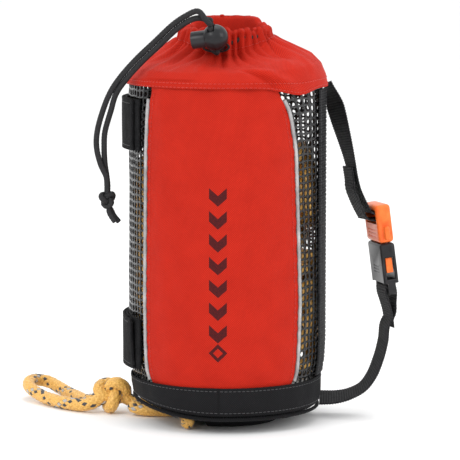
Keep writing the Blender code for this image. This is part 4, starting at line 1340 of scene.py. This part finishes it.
for side, x in (("left", -1), ("right", 1)):
    prong = buckle_block(f"buckle_prong_{side}", (0, 0, -10.9), (3.0, 4.8, 21.2))
    cut_away(prong, buckle_block("prong_head", (x * 2.3, 0, -15.9), (5.2, 4.8, 10.6)), "UNION")
    soften(prong, 0.7, 3)
    prong.data.transform(BUCKLE_FRAME @ Matrix.Translation(Vector((x * 10.2, 0, -0.35)) / 1000))
    keep(prong, ORANGE_PLASTIC, f"prong_{side}", "orange_plastic", f"prong_{side}")

# ---- carry strap ----------------------------------------------------------------------------
# 25 mm ribbed webbing in two lengths. The upper one hangs from the collar and turns round
# the plug's bar; the lower one turns through the housing and is sewn under the base band.
def in_buckle(y, z):
    """A point of the strap at the buckle: y through its thickness, z along the pull, in mm."""
    return BUCKLE_FRAME @ (Vector((0, y, z)) / 1000) * 1000


ACROSS = BUCKLE_FRAME.to_3x3() @ Vector((1, 0, 0))
STRAP_TOP = [(72.0, 12.4, 242.9), (74.9, 12, 235.5), (78.2, 11.5, 225), (82, 11, 211.5), (85.8, 10.6, 198),
             (88.8, 10.3, 186), (91.4, 10.1, 174), (94.2, 10, 164.5)]
STRAP_BOTTOM = [(114.6, 10.6, 67), (113.4, 11, 56), (110.3, 11.5, 43.2), (105.4, 12, 30.5),
                (98.6, 12.3, 21.2), (89, 12.5, 15.8), (79, 12.5, 13.4), (67.4, 12.4, 12.9)]


def turn_round(y, z, radius, first, last):
    """The strap's turn round a bar of the buckle."""
    return [in_buckle(y + radius * math.cos(math.radians(w)), z + radius * math.sin(math.radians(w)))
            for w in np.linspace(first, last, 7)]


upper_route = STRAP_TOP + [in_buckle(-7.4, 23.6), in_buckle(-3.4, 22)] + turn_round(2, 19, 2.75, 90, -90)
upper_route += [in_buckle(-2.5, 16.25), in_buckle(-7.5, 17.4), in_buckle(-11.6, 20.4)]
upper_route += [(89.8, 10, 163.6), (88.5, 10.1, 173), (87.0, 10.3, 182.4)]
upper_line = smooth_path(metres(upper_route), 0.00036)
run = np.arange(len(upper_line)) / len(upper_line)
start_dir, mid_dir, across = np.array([0.30, -0.95, 0]), np.array([0.55, -0.83, 0]), np.array(ACROSS)


def eased(run, low, high):
    """0 before low, 1 after high, and a soft rise between, along a whole strap."""
    x = np.clip((run - low) / (high - low), 0, 1)
    return (x * x * (3 - 2 * x))[:, None]


into, outof = eased(run, 0, 0.12), eased(run, 0.08, 0.44)
upper_dirs = (start_dir * (1 - into) + mid_dir * into) * (1 - outof) + across * outof
upper_strap = webbing_strip("carry_strap_upper", upper_line, upper_dirs, WEBBING_WIDTH, WEBBING_PLY)
upper_strap.data.materials.append(BLACK_WEBBING)
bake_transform(upper_strap)
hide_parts("strap_upper")

lower_route = [in_buckle(-1.2, -62), in_buckle(-1.3, -52), in_buckle(-2.6, -44), in_buckle(-3.75, -38)]
lower_route += turn_round(0, -33.8, 3.75, 180, 0)
lower_route += [in_buckle(3.75, -38), in_buckle(2.6, -44), in_buckle(1.2, -52)]
lower_line = smooth_path(metres(lower_route + STRAP_BOTTOM), 0.00036)
run = np.arange(len(lower_line)) / len(lower_line)
late = eased(run, 0.66, 1.0)
lower_dirs = across * (1 - late) + np.array([0.05, -0.97, -0.23]) * late
lower_strap = webbing_strip("carry_strap_lower", lower_line, lower_dirs, WEBBING_WIDTH, WEBBING_PLY)
keep(lower_strap, BLACK_WEBBING, "bag", "webbing", "strap_lower")
